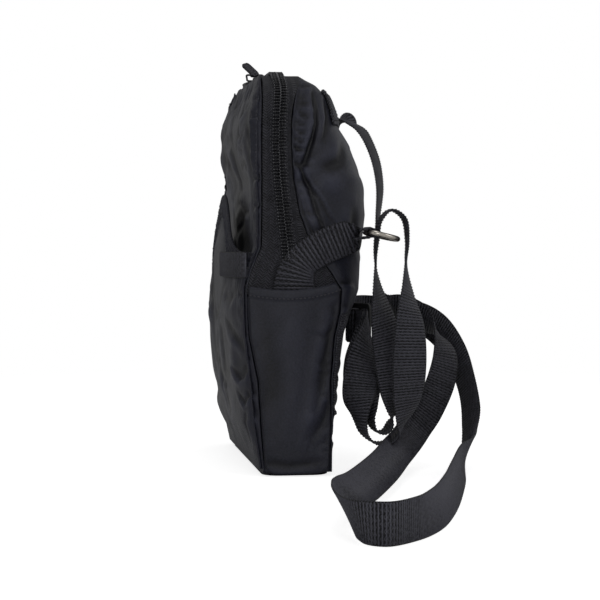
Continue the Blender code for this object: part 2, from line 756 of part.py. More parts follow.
def end_cover(finish):
    """The small cloth tab sewn over the far end of the zip."""
    end = far_rim_length()
    stations = list(np.linspace(end - END_COVER_LENGTH, end, 5))
    return rim_strip(
        "zip_end_cover",
        stations,
        lambda h: ZIP_LINE_Y - TAPE_HALF + GAP,
        lambda h: ZIP_LINE_Y + TAPE_HALF - GAP,
        END_COVER_THICK + GAP,
        END_COVER_THICK,
        -1,
        finish,
    )


def pocket_bulge(y, height):
    """How far a side pocket stands off the end panel."""
    middle = (front_seam(height) + back_seam(height)) / 2
    half = (back_seam(height) - front_seam(height)) / 2
    return POCKET_CROWN * (1 - min(abs(y - middle) / half, 1.0) ** 2)


def side_pocket(name, side, finish):
    """A flat pocket on an end panel, with a doubled hem along its open top."""
    columns = 10
    hem = POCKET_TOP - POCKET_HEM
    heights = list(np.linspace(POCKET_BOTTOM, hem, 6))
    heights += [hem + POCKET_HEM_EXTRA, POCKET_TOP]
    outer = []
    inner = []
    for z in heights:
        ys = np.linspace(front_seam(z) + POCKET_MARGIN, back_seam(z) - POCKET_MARGIN, columns + 1)
        share = min(z / hem, 1.0)
        thick = CLOTH + (POCKET_HEM_EXTRA if z > hem else 0.0)
        row_in = [BAG_WIDTH / 2 + GAP + pocket_bulge(y, z) * share for y in ys]
        inner.append([(side * x, y, z) for x, y in zip(row_in, ys)])
        outer.append([(side * (x + thick), y, z) for x, y in zip(row_in, ys)])
    return sheet(name, np.array(outer), np.array(inner), finish)


def mouth_height(share):
    """The front pocket's open edge: high in the middle, low at both seams."""
    return MOUTH_LOW + (MOUTH_HIGH - MOUTH_LOW) * (1 - share * share) ** MOUTH_POWER


def pocket_surface(share, height):
    """The outer face of the front pocket."""
    middle = FRONT_POCKET_DEPTH * share_at(height, POCKET_MIDDLE_SHARES)
    room = middle + front_middle(height)
    reach = share / FRONT_POCKET_REACH
    swell = max(room - POCKET_LIFT, 0.0) * (1 - min(abs(reach), 1.0) ** 3)
    return front_surface(share, height) - POCKET_LIFT - swell


def pocket_grid(lower, upper, rows, extra):
    """Outer and inner points of a strip of the front pocket between two edges."""
    outer = []
    inner = []
    for r in range(rows + 1):
        line_out = []
        line_in = []
        for column in panel_shares():
            share = column * FRONT_POCKET_REACH
            low = lower(share)
            z = low + (upper(share) - low) * r / rows
            x = half_width(z) * share
            y = pocket_surface(share, z)
            line_out.append((x, y - extra, z))
            line_in.append((x, y + CLOTH, z))
        outer.append(line_out)
        inner.append(line_in)
    return np.array(outer), np.array(inner)


def front_pocket(finish, band_finish):
    """The gaping front pocket, and the gathered band along its mouth."""

    def band_low(share):
        return mouth_height(share) - BAND_HEIGHT

    outer, inner = pocket_grid(lambda s: FRONT_POCKET_BOTTOM, lambda s: band_low(s) - GAP, 9, 0.0)
    sheet("front_pocket", outer, inner, finish)
    outer, inner = pocket_grid(band_low, mouth_height, 2, BAND_EXTRA)
    sheet("front_pocket_band", outer, inner, band_finish)


def back_patch(finish):
    """The short webbing patch sewn on the back cloth near its top."""
    outer = []
    inner = []
    high = BAG_HEIGHT - PATCH_DROP
    for z in np.linspace(high - PATCH_TALL, high, 4):
        line_out = []
        line_in = []
        for share in np.linspace(*PATCH_X_SHARES, 5):
            x = half_width(z) * share
            y = back_surface(share, z)
            line_in.append((x, y + 2 * GAP, z + GAP))
            line_out.append((x, y + 2 * GAP + PATCH_THICK, z + GAP + PATCH_THICK / 2))
        outer.append(line_out)
        inner.append(line_in)
    return sheet("back_edge_patch", np.array(outer), np.array(inner), finish)


def smooth_curve(points, between):
    """A curve through hand-laid points, each with its own direction, in even steps of parameter."""
    rows = np.array(points, float)
    ends = np.vstack([2 * rows[0] - rows[1], rows, 2 * rows[-1] - rows[-2]])
    out = []
    for k in range(len(rows) - 1):
        p0, p1, p2, p3 = ends[k : k + 4]
        t0 = 0.0
        t1 = t0 + np.linalg.norm((p1 - p0)[:3]) ** 0.5
        t2 = t1 + np.linalg.norm((p2 - p1)[:3]) ** 0.5
        t3 = t2 + np.linalg.norm((p3 - p2)[:3]) ** 0.5
        for t in np.linspace(t1, t2, between, endpoint=False):
            a1 = (t1 - t) / (t1 - t0) * p0 + (t - t0) / (t1 - t0) * p1
            a2 = (t2 - t) / (t2 - t1) * p1 + (t - t1) / (t2 - t1) * p2
            a3 = (t3 - t) / (t3 - t2) * p2 + (t - t2) / (t3 - t2) * p3
            b1 = (t2 - t) / (t2 - t0) * a1 + (t - t0) / (t2 - t0) * a2
            b2 = (t3 - t) / (t3 - t1) * a2 + (t - t1) / (t3 - t1) * a3
            out.append((t2 - t) / (t2 - t1) * b1 + (t - t1) / (t2 - t1) * b2)
    out.append(rows[-1])
    return np.array(out)


def band_frames(places, widths):
    """The way a band's width points at each place, square to its line, and the way its face looks."""
    along = np.gradient(places, axis=0)
    along /= np.linalg.norm(along, axis=1)[:, None]
    across = np.array(widths, float)
    across -= np.sum(across * along, axis=1)[:, None] * along
    across /= np.linalg.norm(across, axis=1)[:, None]
    return across, np.cross(along, across)


def ribbon(name, places, widths, width, thick, finish):
    """A flat band swept along a line, with its width turned as the second list says."""
    places = np.array(places)
    across, face = band_frames(places, widths)
    corners = ((0.5, 0.5), (-0.5, 0.5), (-0.5, -0.5), (0.5, -0.5))
    vertices = []
    for p, w, n in zip(places, across, face):
        for a, b in corners:
            vertices.append(p + a * width * w + b * thick * n)
    faces = [(0, 1, 2, 3)]
    for k in range(len(places) - 1):
        for c in range(4):
            after = (c + 1) % 4
            faces.append((4 * k + c, 4 * k + 4 + c, 4 * k + 4 + after, 4 * k + after))
    last = 4 * (len(places) - 1)
    faces.append((last + 3, last + 2, last + 1, last))
    return add_object(name, vertices, faces, finish)


def shoulder_strap(finish):
    """One length of flat webbing; where it meets the floor it is lifted to lie on its own edge."""
    rows = smooth_curve(STRAP_ROUTE, STRAP_STEPS)
    places = rows[:, :3] * MM
    widths = rows[:, 3:]
    for settle in range(3):
        across, face = band_frames(places, widths)
        drop = np.abs(across[:, 2]) * STRAP_WIDTH / 2 + np.abs(face[:, 2]) * STRAP_THICK / 2
        places[:, 2] = np.maximum(places[:, 2], drop + STRAP_FLOOR_GAP)
    return ribbon("shoulder_strap", places, widths, STRAP_WIDTH, STRAP_THICK, finish)


def strap_adjuster(finish):
    """A flat frame with a middle bar: the sewn end goes round that bar, the strap over it."""
    reach = ADJUSTER_BAR / 2 + ADJUSTER_SLOT + ADJUSTER_BAR
    tall = STRAP_WIDTH / 2 + ADJUSTER_BAR / 2 + ADJUSTER_SIDE
    thick = ADJUSTER_BAR / 2
    corner = ADJUSTER_SIDE
    turn = math.radians(ADJUSTER_TURN_DEG)
    outline = []
    centres = ((reach - corner, tall - corner, 0), (corner - reach, tall - corner, 1))
    centres += ((corner - reach, corner - tall, 2), (reach - corner, corner - tall, 3))
    for ca, cb, quarter in centres:
        for k in range(4):
            angle = math.pi / 2 * (quarter + k / 3)
            outline.append((ca + corner * math.cos(angle), cb + corner * math.sin(angle)))
    body = extrude_outline("strap_adjuster", outline, -thick, thick, "Y", finish)
    high = STRAP_WIDTH / 2 + ADJUSTER_BAR / 2
    for side in (-1, 1):
        low_a, high_a = sorted((side * ADJUSTER_BAR / 2, side * (ADJUSTER_BAR / 2 + ADJUSTER_SLOT)))
        slot = extrude_outline(
            "slot_guide", box_outline(low_a, high_a, -high, high), -2 * thick, 2 * thick, "Y", finish
        )
        slot.parent = body
        cut_or_join(body, slot, "DIFFERENCE")
    body.location = (ADJUSTER_X, ADJUSTER_Y, ADJUSTER_Z)
    body.rotation_euler = (0, 0, turn)
    return body


def ring_outline():
    """The D: a straight bar, and a bow, in a plane of its own (bar along the first axis)."""
    half = RING_INSIDE / 2 + RING_WIRE / 2
    depth = RING_DEPTH - RING_WIRE
    points = [(-half + RING_WIRE, 0.0), (0.0, 0.0), (half - RING_WIRE, 0.0)]
    steps = 14
    for k in range(steps + 1):
        angle = math.pi * k / steps
        cos = math.cos(angle)
        bow = math.sin(angle) ** 0.75
        reach = math.copysign(abs(cos) ** 0.75, cos)
        points.append((half * reach, RING_WIRE / 2 + (depth - RING_WIRE / 2) * bow))
    return points


def ring(name, side, finish):
    """A bent wire ring, held by its bar in the webbing loop."""
    tilt = math.radians(RING_TILT_DEG)
    points = []
    for a, b in ring_outline():
        x = side * RING_BAR_X + a
        points.append((x, RING_BAR_Y + b * math.cos(tilt), RING_BAR_Z - b * math.sin(tilt)))
    return wire_loop(name, points, RING_WIRE / 2, finish)


def strap_anchor(name, side, finish):
    """Webbing that comes up out of the side pocket, crosses the end and turns round the ring's bar."""
    base = BAG_WIDTH / 2 + GAP + WEB_THICK / 2
    rise = RING_BAR_Z - ANCHOR_FOOT_Z
    run = RING_BAR_Y - ANCHOR_FOOT_Y
    eye = RING_WIRE / 2 + EYE_CLEAR + EYE_WALL
    out = RING_BAR_X - base
    route_shares = (
        (0.0, 0.0, 0.0, 0.0),
        (0.0, 0.25, 0.0, 0.0),
        (0.055, 0.465, 0.05, 0.0),
        (0.19, 0.66, 0.2, 0.0),
        (0.42, 0.79, 0.45, 0.1),
        (0.66, 0.885, 0.75, 0.38),
        (0.84, 0.94, 0.95, 0.76),
    )
    points = []
    for run_share, rise_share, out_share, twist_share in route_shares:
        twist = math.pi / 2 * twist_share
        points.append(
            (
                base + out * out_share,
                ANCHOR_FOOT_Y + run * run_share,
                ANCHOR_FOOT_Z + rise * rise_share,
                math.sin(twist),
                -0.72 * math.cos(twist),
                0.69 * math.cos(twist),
            )
        )
    last_y = RING_BAR_Y - (eye - EYE_WALL / 2) * math.cos(math.radians(20))
    last_z = RING_BAR_Z - (eye - EYE_WALL / 2) * math.sin(math.radians(20))
    points.append((RING_BAR_X, last_y, last_z, 1.0, 0.0, 0.0))
    rows = smooth_curve(points, WEB_STEPS)
    rows[: WEB_STEPS + 1, 3:] = (0, -0.98, 0.2)
    places = [(side * r[0], r[1], r[2]) for r in rows]
    widths = [(side * r[3], r[4], r[5]) for r in rows]
    web = ribbon(name, places, widths, WEB_WIDTH, WEB_THICK, finish)
    steps = 16
    circle = [
        (RING_BAR_Y + eye * math.cos(2 * math.pi * k / steps), RING_BAR_Z + eye * math.sin(2 * math.pi * k / steps))
        for k in range(steps)
    ]
    low = side * RING_BAR_X - EYE_LENGTH / 2
    high = side * RING_BAR_X + EYE_LENGTH / 2
    barrel = extrude_outline("eye_guide_" + name, circle, low, high, "X", finish)
    cut_or_join(web, barrel, "UNION")
    inside = RING_WIRE / 2 + EYE_CLEAR
    circle = [
        (
            RING_BAR_Y + inside * math.cos(2 * math.pi * k / steps),
            RING_BAR_Z + inside * math.sin(2 * math.pi * k / steps),
        )
        for k in range(steps)
    ]
    bore = extrude_outline("bore_guide_" + name, circle, low - WEB_WIDTH, high + WEB_WIDTH, "X", finish)
    cut_or_join(web, bore, "DIFFERENCE")
    return web


def build():
    """Make every piece of the bag."""
    clear_scene()
    nylon = material("black_nylon", (0.022, 0.022, 0.027), 0.55)
    webbing = material("black_webbing", (0.02, 0.02, 0.024), 0.7)
    coil = material("black_zip", (0.012, 0.012, 0.014), 0.35)
    metal = material("silver_metal", (0.62, 0.58, 0.52), 0.25, 1.0)
    plastic = material("black_plastic", (0.02, 0.02, 0.02), 0.4)
    inside = material("lining_cloth", (0.03, 0.03, 0.035), 0.75)

    base_panel(nylon)
    face_panel("front_panel", front_surface, front_seam, nylon)
    face_panel("back_panel", back_surface, back_seam, nylon)
    low = BASE_THICK + GAP

    def front_edge(height):
        return front_seam(height) + SEAM_GAP

    def back_edge(height):
        return back_seam(height) - SEAM_GAP

    near = rim_stations(low, ZIP_START_HEIGHT - GAP, BAG_WIDTH)
    rim_strip("gusset_near", near, front_edge, back_edge, 0.0, CLOTH, 1, nylon)
    far = rim_stations(low, far_rim_length(), BAG_WIDTH)
    rim_strip("gusset_far", far, front_edge, back_edge, 0.0, CLOTH, -1, nylon)
    lining(inside)

    zip_tapes(nylon)
    zip_teeth("zip_teeth_front", -1, 0, coil)
    zip_teeth("zip_teeth_back", 1, 1, coil)
    end_cover(nylon)
    zip_slider(metal)
    zip_puller(metal)
    zip_pull_tab(webbing)

    side_pocket("side_pocket_near", 1, nylon)
    side_pocket("side_pocket_far", -1, nylon)
    front_pocket(nylon, webbing)
    back_patch(webbing)

    strap_anchor("strap_anchor_near", 1, webbing)
    strap_anchor("strap_anchor_far", -1, webbing)
    ring("ring_near", 1, metal)
    ring("ring_far", -1, metal)
    shoulder_strap(webbing)
    strap_adjuster(plastic)


build()
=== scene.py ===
# %% [markdown]
# # A small black nylon shoulder bag
#
# This file is read from top to bottom, one cell at a time. The solids of the bag come first, as a fixed
# frame that says where every piece is. Each later step makes one piece of the real bag in full detail,
# in place of its plain solid: cloth with its creases and seams, a zip with its coils, ribbed webbing,
# bent wire rings, and a long flat strap that lies as it fell.

import math

import bmesh
import bpy
import numpy as np
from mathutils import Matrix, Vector


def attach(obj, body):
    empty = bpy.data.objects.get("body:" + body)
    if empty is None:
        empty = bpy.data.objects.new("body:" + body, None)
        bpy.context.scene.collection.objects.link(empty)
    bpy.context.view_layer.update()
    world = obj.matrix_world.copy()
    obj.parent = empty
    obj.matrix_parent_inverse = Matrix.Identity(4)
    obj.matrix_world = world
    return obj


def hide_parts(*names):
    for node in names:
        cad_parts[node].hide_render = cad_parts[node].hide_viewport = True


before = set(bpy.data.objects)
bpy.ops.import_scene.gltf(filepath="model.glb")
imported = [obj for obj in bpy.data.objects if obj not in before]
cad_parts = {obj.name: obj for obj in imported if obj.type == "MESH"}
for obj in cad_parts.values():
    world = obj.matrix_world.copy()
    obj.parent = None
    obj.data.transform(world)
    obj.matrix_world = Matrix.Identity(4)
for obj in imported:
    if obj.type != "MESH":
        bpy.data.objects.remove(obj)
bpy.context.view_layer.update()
MM = 0.001
print("pieces in the frame:", len(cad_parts))

# %% [markdown]
# ## The camera
#
# The bag is seen from one end, a little above the floor, with a sliver of its front showing on the left.
# A long lens about a metre away keeps the sides nearly parallel.

# %% Camera
scene = bpy.context.scene
scene.view_settings.view_transform = "Standard"


def add_object(name, data):
    """A new object, put into the scene."""
    made = bpy.data.objects.new(name, data)
    scene.collection.objects.link(made)
    return made


def add_camera():
    """A camera one metre from the near end, turned slightly towards the front."""
    data = bpy.data.cameras.new("camera")
    data.sensor_width = 36.0
    data.lens = 105.24
    data.clip_start = 0.01
    made = add_object("camera", data)
    made.location = (1.075, -0.142, 0.133)
    pitch = math.radians(1.83)
    heading = Vector((-0.990, 0.1426, 0.0)).normalized()
    look = Vector((heading.x * math.cos(pitch), heading.y * math.cos(pitch), -math.sin(pitch)))
    made.rotation_euler = look.to_track_quat("-Z", "Y").to_euler()
    return made


scene.camera = add_camera()
print("camera at", tuple(scene.camera.location))

# %% [markdown]
# ## Floor, backdrop and light
#
# Black cloth shows its shape only by its sheen, so it needs large soft lamps close by: the strongest by
# the camera, one above, one on each side, and two weak ones at the far end. The floor and the sky are
# pale to the camera, while the lamps stay at a plain level. Far from the bag the floor turns plain
# white, so that no line shows where it meets the sky. A few helpers come first: they make a node, fill
# its inputs, and start a finish.


# %% Nodes
def fill_node(tree, node, ins):
    """Fill a node's inputs: a number is set, a socket is joined, and a node gives its first output."""
    for slot, value in ins.items():
        if isinstance(value, bpy.types.Node):
            value = value.outputs[0]
        if isinstance(value, bpy.types.NodeSocket):
            tree.links.new(value, node.inputs[slot])
        else:
            node.inputs[slot].default_value = value
    return node


def add_node(tree, kind, ins=None, **settings):
    """A new node with its settings and its inputs."""
    node = tree.nodes.new(kind)
    for label, value in settings.items():
        setattr(node, label, value)
    return fill_node(tree, node, ins or {})


def math_node(tree, operation, *values):
    """The result of one arithmetic node."""
    return add_node(tree, "ShaderNodeMath", dict(enumerate(values)), operation=operation).outputs[0]


def start_finish(name, plain):
    """A new material, its nodes and its shader, with the plain numbers set on the shader itself."""
    made = bpy.data.materials.new(name)
    made.use_nodes = True
    tree = made.node_tree
    return made, tree, fill_node(tree, tree.nodes["Principled BSDF"], plain)


# %% Floor and light
def pale_floor(size=6.0):
    """A pale matt floor that goes white away from the bag and keeps the bag's shadow."""
    mesh = bpy.data.meshes.new("floor")
    mesh.from_pydata([(-size, -size, 0), (size, -size, 0), (size, size, 0), (-size, size, 0)], [], [(0, 1, 2, 3)])
    made = add_object("floor", mesh)
    paint, tree, shader = start_finish("pale_floor", {"Base Color": (0.82, 0.82, 0.82, 1), "Roughness": 0.9})
    glow = add_node(tree, "ShaderNodeEmission", {"Strength": 0.8})
    white = add_node(tree, "ShaderNodeEmission")
    both = add_node(tree, "ShaderNodeAddShader", {0: shader, 1: glow})
    place = add_node(tree, "ShaderNodeTexCoord").outputs["Object"]
    away = add_node(tree, "ShaderNodeVectorMath", {0: place}, operation="LENGTH").outputs["Value"]
    far = add_node(tree, "ShaderNodeMapRange", {"Value": away, "From Min": 0.30, "From Max": 0.75})
    edge = add_node(tree, "ShaderNodeMixShader", {0: far, 1: both, 2: white})
    seen = add_node(tree, "ShaderNodeLightPath").outputs["Is Camera Ray"]
    mix = add_node(tree, "ShaderNodeMixShader", {0: seen, 1: shader, 2: edge})
    fill_node(tree, tree.nodes["Material Output"], {0: mix})
    mesh.materials.append(paint)


def pale_sky():
    """White to the camera, dim as a source of light."""
    world = bpy.data.worlds.new("studio")
    scene.world = world
    world.use_nodes = True
    tree = world.node_tree
    rays = add_node(tree, "ShaderNodeLightPath").outputs
    seen = math_node(tree, "MAXIMUM", rays["Is Camera Ray"], rays["Is Transmission Ray"])
    level = add_node(tree, "ShaderNodeMapRange", {"Value": seen, "To Min": 0.24, "To Max": 1.0})
    fill_node(tree, tree.nodes["Background"], {"Color": (1, 1, 1, 1), "Strength": level})


def add_lamp(name, place, aim, width, height, power):
    """A large soft rectangular lamp aimed at a point."""
    data = bpy.data.lights.new(name, "AREA")
    data.shape = "RECTANGLE"
    data.size = width
    data.size_y = height
    data.energy = power
    made = add_object(name, data)
    made.location = place
    made.rotation_euler = (Vector(aim) - Vector(place)).to_track_quat("-Z", "Y").to_euler()


pale_floor()
pale_sky()
for lamp in (
    ("lamp_left", (0.7, -1.3, 0.9), (0, 0, 0.12), 0.3, 0.9, 0.5),
    ("lamp_right", (0.8, 1.2, 0.9), (0.05, 0.02, 0.1), 0.35, 0.9, 1.9),
    ("lamp_above", (0.2, 0.0, 1.5), (0, 0, 0.1), 0.7, 0.7, 2.0),
    ("lamp_camera", (1.6, -0.1, 0.5), (0, 0, 0.1), 0.8, 0.6, 3.6),
    ("lamp_far_front", (-1.2, -0.9, 0.7), (0, 0, 0.1), 0.6, 0.6, 0.25),
    ("lamp_far_back", (-0.9, 1.3, 0.7), (0, 0, 0.1), 0.6, 0.6, 0.8),
):
    add_lamp(*lamp)

# %% [markdown]
# ## What the finishes share
#
# Every cloth here has three things in common. Its threads make a fine pattern, which follows the cloth
# and so reads the piece's own flat map. Shade is painted into its folds and a highlight onto their ridges,
# which reads a number kept on each point while the folds are made. And it has a broad uneven fade.
# Each of these is a small group of nodes, built once and placed in each finish with its own values.


# %% Node groups
def start_group(name, ins, outs):
    """An empty group of shader nodes; an input without a number is a place."""
    group = bpy.data.node_groups.new(name, "ShaderNodeTree")
    for label, value in ins.items():
        kind = "NodeSocketVector" if value is None else "NodeSocketFloat"
        socket = group.interface.new_socket(label, in_out="INPUT", socket_type=kind)
        if value is not None:
            socket.default_value = value
    for label in outs:
        group.interface.new_socket(label, in_out="OUTPUT", socket_type="NodeSocketFloat")
    return group, group.nodes.new("NodeGroupInput").outputs, group.nodes.new("NodeGroupOutput")


def wave_node(group, place, count, turn):
    """A sine wave along a place."""
    turns = math_node(group, "MULTIPLY", place, count)
    return math_node(group, "SINE", math_node(group, "MULTIPLY", turns, turn))


def threads_group():
    """Threads over and under each other: a plain weave."""
    group, ins, outs = start_group("plain_weave", {"Place": None, "Count": 2000.0}, ("Height",))
    split = add_node(group, "ShaderNodeSeparateXYZ", {0: ins["Place"]})
    waves = [wave_node(group, split.outputs[axis], ins["Count"], math.pi) for axis in (0, 1)]
    over = math_node(group, "MULTIPLY", *waves)
    fill_node(group, outs, {"Height": math_node(group, "MULTIPLY_ADD", over, 0.5, 0.5)})
    return group


def lines_group():
    """Ribs across a band, slanted lines of a twill, or their zigzag."""
    ins = {"Place": None, "Count": 700.0, "Slant": 0.0, "Zigzag": 1.0}
    group, ins, outs = start_group("ribs_and_twill", ins, ("Height",))
    split = add_node(group, "ShaderNodeSeparateXYZ", {0: ins["Place"]})
    folded = math_node(group, "PINGPONG", split, ins["Zigzag"])
    slanted = math_node(group, "MULTIPLY_ADD", folded, ins["Slant"], split.outputs[1])
    wave = wave_node(group, slanted, ins["Count"], 2 * math.pi)
    fill_node(group, outs, {"Height": math_node(group, "MULTIPLY_ADD", wave, 0.5, 0.5)})
    return group


def shade_and_fade_group():
    """How pale the cloth is at a place: a painted highlight on ridges, painted shade in grooves, uneven all over."""
    ins = {"Place": None, "Patch Scale": 22.0, "Fold": 0.0, "Fade": 0.35, "Speck": 0.25}
    group, ins, outs = start_group("fold_shade_and_fade", ins, ("Shade", "Grain"))
    patches = {"Vector": ins["Place"], "Scale": ins["Patch Scale"], "Detail": 4.0}
    broad = add_node(group, "ShaderNodeTexNoise", patches)
    fine = add_node(group, "ShaderNodeTexNoise", {"Vector": ins["Place"], "Scale": 900.0, "Detail": 2.0})
    # The fold shade paints shade into the grooves and a highlight onto the ridges.
    total = math_node(group, "MULTIPLY_ADD", ins["Fold"], 0.75, 0.42)
    for noise, amount in ((broad, "Fade"), (fine, "Speck")):
        uneven = math_node(group, "MULTIPLY", math_node(group, "SUBTRACT", noise, 0.5), ins[amount])
        total = math_node(group, "ADD", total, uneven)
    clamp = add_node(group, "ShaderNodeClamp", {"Value": total})
    fill_node(group, outs, {"Shade": clamp, "Grain": fine})
    return group


WEAVE = threads_group()
LINES = lines_group()
SHADE_AND_FADE = shade_and_fade_group()
print("groups:", WEAVE.name, LINES.name, SHADE_AND_FADE.name)

# %% [markdown]
# ## The finishes
#
# The bag's nylon is nearly black, a little blue, with a soft sheen. The webbing is rougher and paler and
# shows its ribs. The zip's tape has a small zigzag. A finish is one shader with its groups before it: the
# shade picks between a dark and a pale tone of the same colour, and the threads go into a bump.


# %% Cloth finishes
def shade_and_fade_node(tree, amounts):
    """The group of painted fold shade and uneven fade, placed in a finish."""
    place = add_node(tree, "ShaderNodeTexCoord").outputs["Object"]
    return add_node(tree, "ShaderNodeGroup", {"Place": place, **amounts}, node_tree=SHADE_AND_FADE).outputs


def two_tones(tree, shade, dark, pale):
    """A colour between a dark and a pale tone."""
    return add_node(tree, "ShaderNodeMix", {0: shade, 6: (*dark, 1), 7: (*pale, 1)}, data_type="RGBA").outputs[2]


def cloth_finish(name, dark, pale, rough, threads, depth, patch=22.0, grip=0.3, speck=0.7):
    """A cloth: two tones, a roughness, and its threads as a group and the group's numbers."""
    plain = {"Sheen Weight": 0.04, "Sheen Roughness": 0.4, "Specular IOR Level": 0.4}
    made, tree, shader = start_finish(name, plain)
    # The fold shade kept on each point is painted shade in the grooves and a painted highlight on the ridges.
    fold = add_node(tree, "ShaderNodeAttribute", attribute_name="fold").outputs["Fac"]
    shade_and_fade_out = shade_and_fade_node(tree, {"Fold": fold, "Patch Scale": patch, "Fade": 0.4, "Speck": speck})
    group, counts = threads
    flat = add_node(tree, "ShaderNodeUVMap", uv_map="flat")
    weave = add_node(tree, "ShaderNodeGroup", {"Place": flat, **counts}, node_tree=group)
    grain = add_node(tree, "ShaderNodeBump", {"Distance": 0.00012, "Height": shade_and_fade_out["Grain"]})
    bump = add_node(tree, "ShaderNodeBump", {"Distance": depth, "Height": weave, "Normal": grain})
    shade = math_node(tree, "MULTIPLY_ADD", weave, grip, shade_and_fade_out["Shade"])
    tone = two_tones(tree, math_node(tree, "SUBTRACT", shade, grip / 2), dark, pale)
    rougher = math_node(tree, "MULTIPLY_ADD", shade_and_fade_out["Grain"], 0.2, rough - 0.1)
    fill_node(tree, shader, {"Base Color": tone, "Roughness": rougher, "Normal": bump})
    return made


ZIGZAG = {"Count": 620, "Slant": 0.9, "Zigzag": 0.0024}
RIBS = {"Count": 700, "Slant": 0.55, "Zigzag": 0.0016}
NYLON = cloth_finish("nylon", (0.002, 0.002, 0.005), (0.035, 0.037, 0.060), 0.40, (WEAVE, {"Count": 2200}), 0.00008)
LINING_CLOTH = cloth_finish(
    "lining_weave", (0.012, 0.012, 0.014), (0.04, 0.04, 0.044), 0.7, (WEAVE, {"Count": 1500}), 0.0001
)
TAPE = cloth_finish(
    "zip_tape_twill", (0.003, 0.003, 0.005), (0.050, 0.050, 0.064), 0.6, (LINES, ZIGZAG), 0.0004, grip=0.7, speck=1.5
)
WEBBING = cloth_finish(
    "ribbed_webbing", (0.002, 0.002, 0.004), (0.078, 0.078, 0.098), 0.55, (LINES, RIBS), 0.0004, 40, 1.0, 2.2
)
THREAD = cloth_finish(
    "sewing_thread", (0.015, 0.015, 0.02), (0.10, 0.10, 0.115), 0.45, (WEAVE, {"Count": 2500}), 0.00005
)
print("cloth finishes made")


# %% Hard finishes
def hard_finish(name, dark, pale, rough, metallic, scratch):
    """Metal or plastic: two tones in fine uneven patches, and a slight unevenness of its polish."""
    made, tree, shader = start_finish(name, {"Metallic": metallic})
    shade_and_fade_out = shade_and_fade_node(tree, {"Patch Scale": 120.0, "Fade": 1.2})
    tone = two_tones(tree, shade_and_fade_out["Shade"], dark, pale)
    rougher = math_node(tree, "MULTIPLY_ADD", shade_and_fade_out["Shade"], 0.25, rough - 0.1)
    bump = add_node(tree, "ShaderNodeBump", {"Distance": scratch, "Height": shade_and_fade_out["Grain"]})
    fill_node(tree, shader, {"Base Color": tone, "Roughness": rougher, "Normal": bump})
    return made


METAL = hard_finish("worn_nickel", (0.55, 0.51, 0.45), (0.88, 0.83, 0.75), 0.26, 1.0, 0.00003)
DARK_METAL = hard_finish("blackened_metal", (0.03, 0.03, 0.034), (0.10, 0.10, 0.105), 0.38, 0.8, 0.00004)
# The coil's bead heads are pale: painted glints.
GLINT = hard_finish("zip_coil_heads", (0.06, 0.06, 0.065), (0.30, 0.30, 0.32), 0.2, 0.0, 0.00003)
COIL = hard_finish("zip_coil_nylon", (0.006, 0.006, 0.008), (0.030, 0.030, 0.035), 0.2, 0.0, 0.00003)
PLASTIC = hard_finish("moulded_plastic", (0.014, 0.014, 0.015), (0.032, 0.032, 0.034), 0.42, 0.0, 0.00005)
print("hard finishes made")

# %% [markdown]
# ## How deep the bag is
#
# The cloth's shape is read from a few depths, measured at a row of heights: where the front and back are
# sewn to the end strips, and how far they stand out in their middle. Between seam and middle each face
# turns round a firm edge and then runs nearly flat, as a stuffed bag's side does. All are in millimetres.

# %% Depth tables
HEIGHTS = (2.5, 14, 30, 55, 80, 95, 107, 118, 131, 150, 171, 190, 202, 210, 218, 225, 231)
FRONT_SEAM = (20.4, 21, 22.2, 23.8, 29, 30, 30.6, 28, 22, 21.6, 21.6, 21.6, 21.6, 21.2, 20.8, 20.4, 19.8)
FRONT_MIDDLE = (21, 24, 28, 31, 31.5, 31.5, 31, 28.5, 24.8, 25, 25.5, 29.5, 30, 28.5, 25, 22, 19.8)
BACK_SEAM = (18.5, 18.7, 19, 18.8, 20.8, 24.3, 24.8, 18, 8, 1.0, -3, -4, -4, -3, -1, 1.4, 3.2)
BACK_MIDDLE = (21, 21, 22, 26, 30.5, 34.5, 38.3, 40, 42.5, 45, 43.5, 35, 27.5, 25.5, 22, 15.5, 3.2)
POCKET_MIDDLE = (23, 26, 32, 35, 37, 38, 37.5, 37, 37, 35, 34, 34, 34, 34, 34, 34, 34)
ZIP_LINE = (-5.0, -5.0, -5.0, -5.0, -5.0, -5.0, -5.0, -5.4, -6.6, -8.8, -11, -11.8, -11.6, -11, -10, -9.6, -10)
HALF = 85.0
CORNER = 30.0
TOP = 231.0
STRAIGHT = TOP - CORNER


def by_height(z, table):
    return np.interp(z, HEIGHTS, table)


def half_width(z):
    """Half the bag's width: straight sides, then the round top corner."""
    above = np.clip(np.asarray(z, float) - STRAIGHT, 0, CORNER)
    return HALF - CORNER + np.sqrt(CORNER**2 - above**2)


def crown(share, power=7.0, rounding=2.5):
    """How far a face has risen from its seam (0) to its middle (1)."""
    return (1 - np.clip(np.abs(share), 0, 1) ** power) ** (1 / rounding)


def front_y(share, z):
    seam = -by_height(z, FRONT_SEAM)
    return seam + (-by_height(z, FRONT_MIDDLE) - seam) * crown(share)


def back_y(share, z):
    seam = by_height(z, BACK_SEAM)
    return seam + (by_height(z, BACK_MIDDLE) - seam) * crown(share, 5.0, 2.4)


def rim_place(length, lift, side=1):
    """A place on the band that runs up an end and over the top, lifted off it."""
    turn = CORNER * math.pi / 2
    if length <= STRAIGHT:
        return side * (HALF + lift), length
    if length <= STRAIGHT + turn:
        angle = (length - STRAIGHT) / CORNER
        reach = CORNER + lift
        return side * (HALF - CORNER + reach * math.cos(angle)), STRAIGHT + reach * math.sin(angle)
    return side * (HALF - CORNER - (length - STRAIGHT - turn)), TOP + lift


RIM_TOP = STRAIGHT + CORNER * math.pi / 2
ZIP_END = RIM_TOP + HALF - CORNER + 50
print("zip runs to", round(ZIP_END), "mm along the rim")
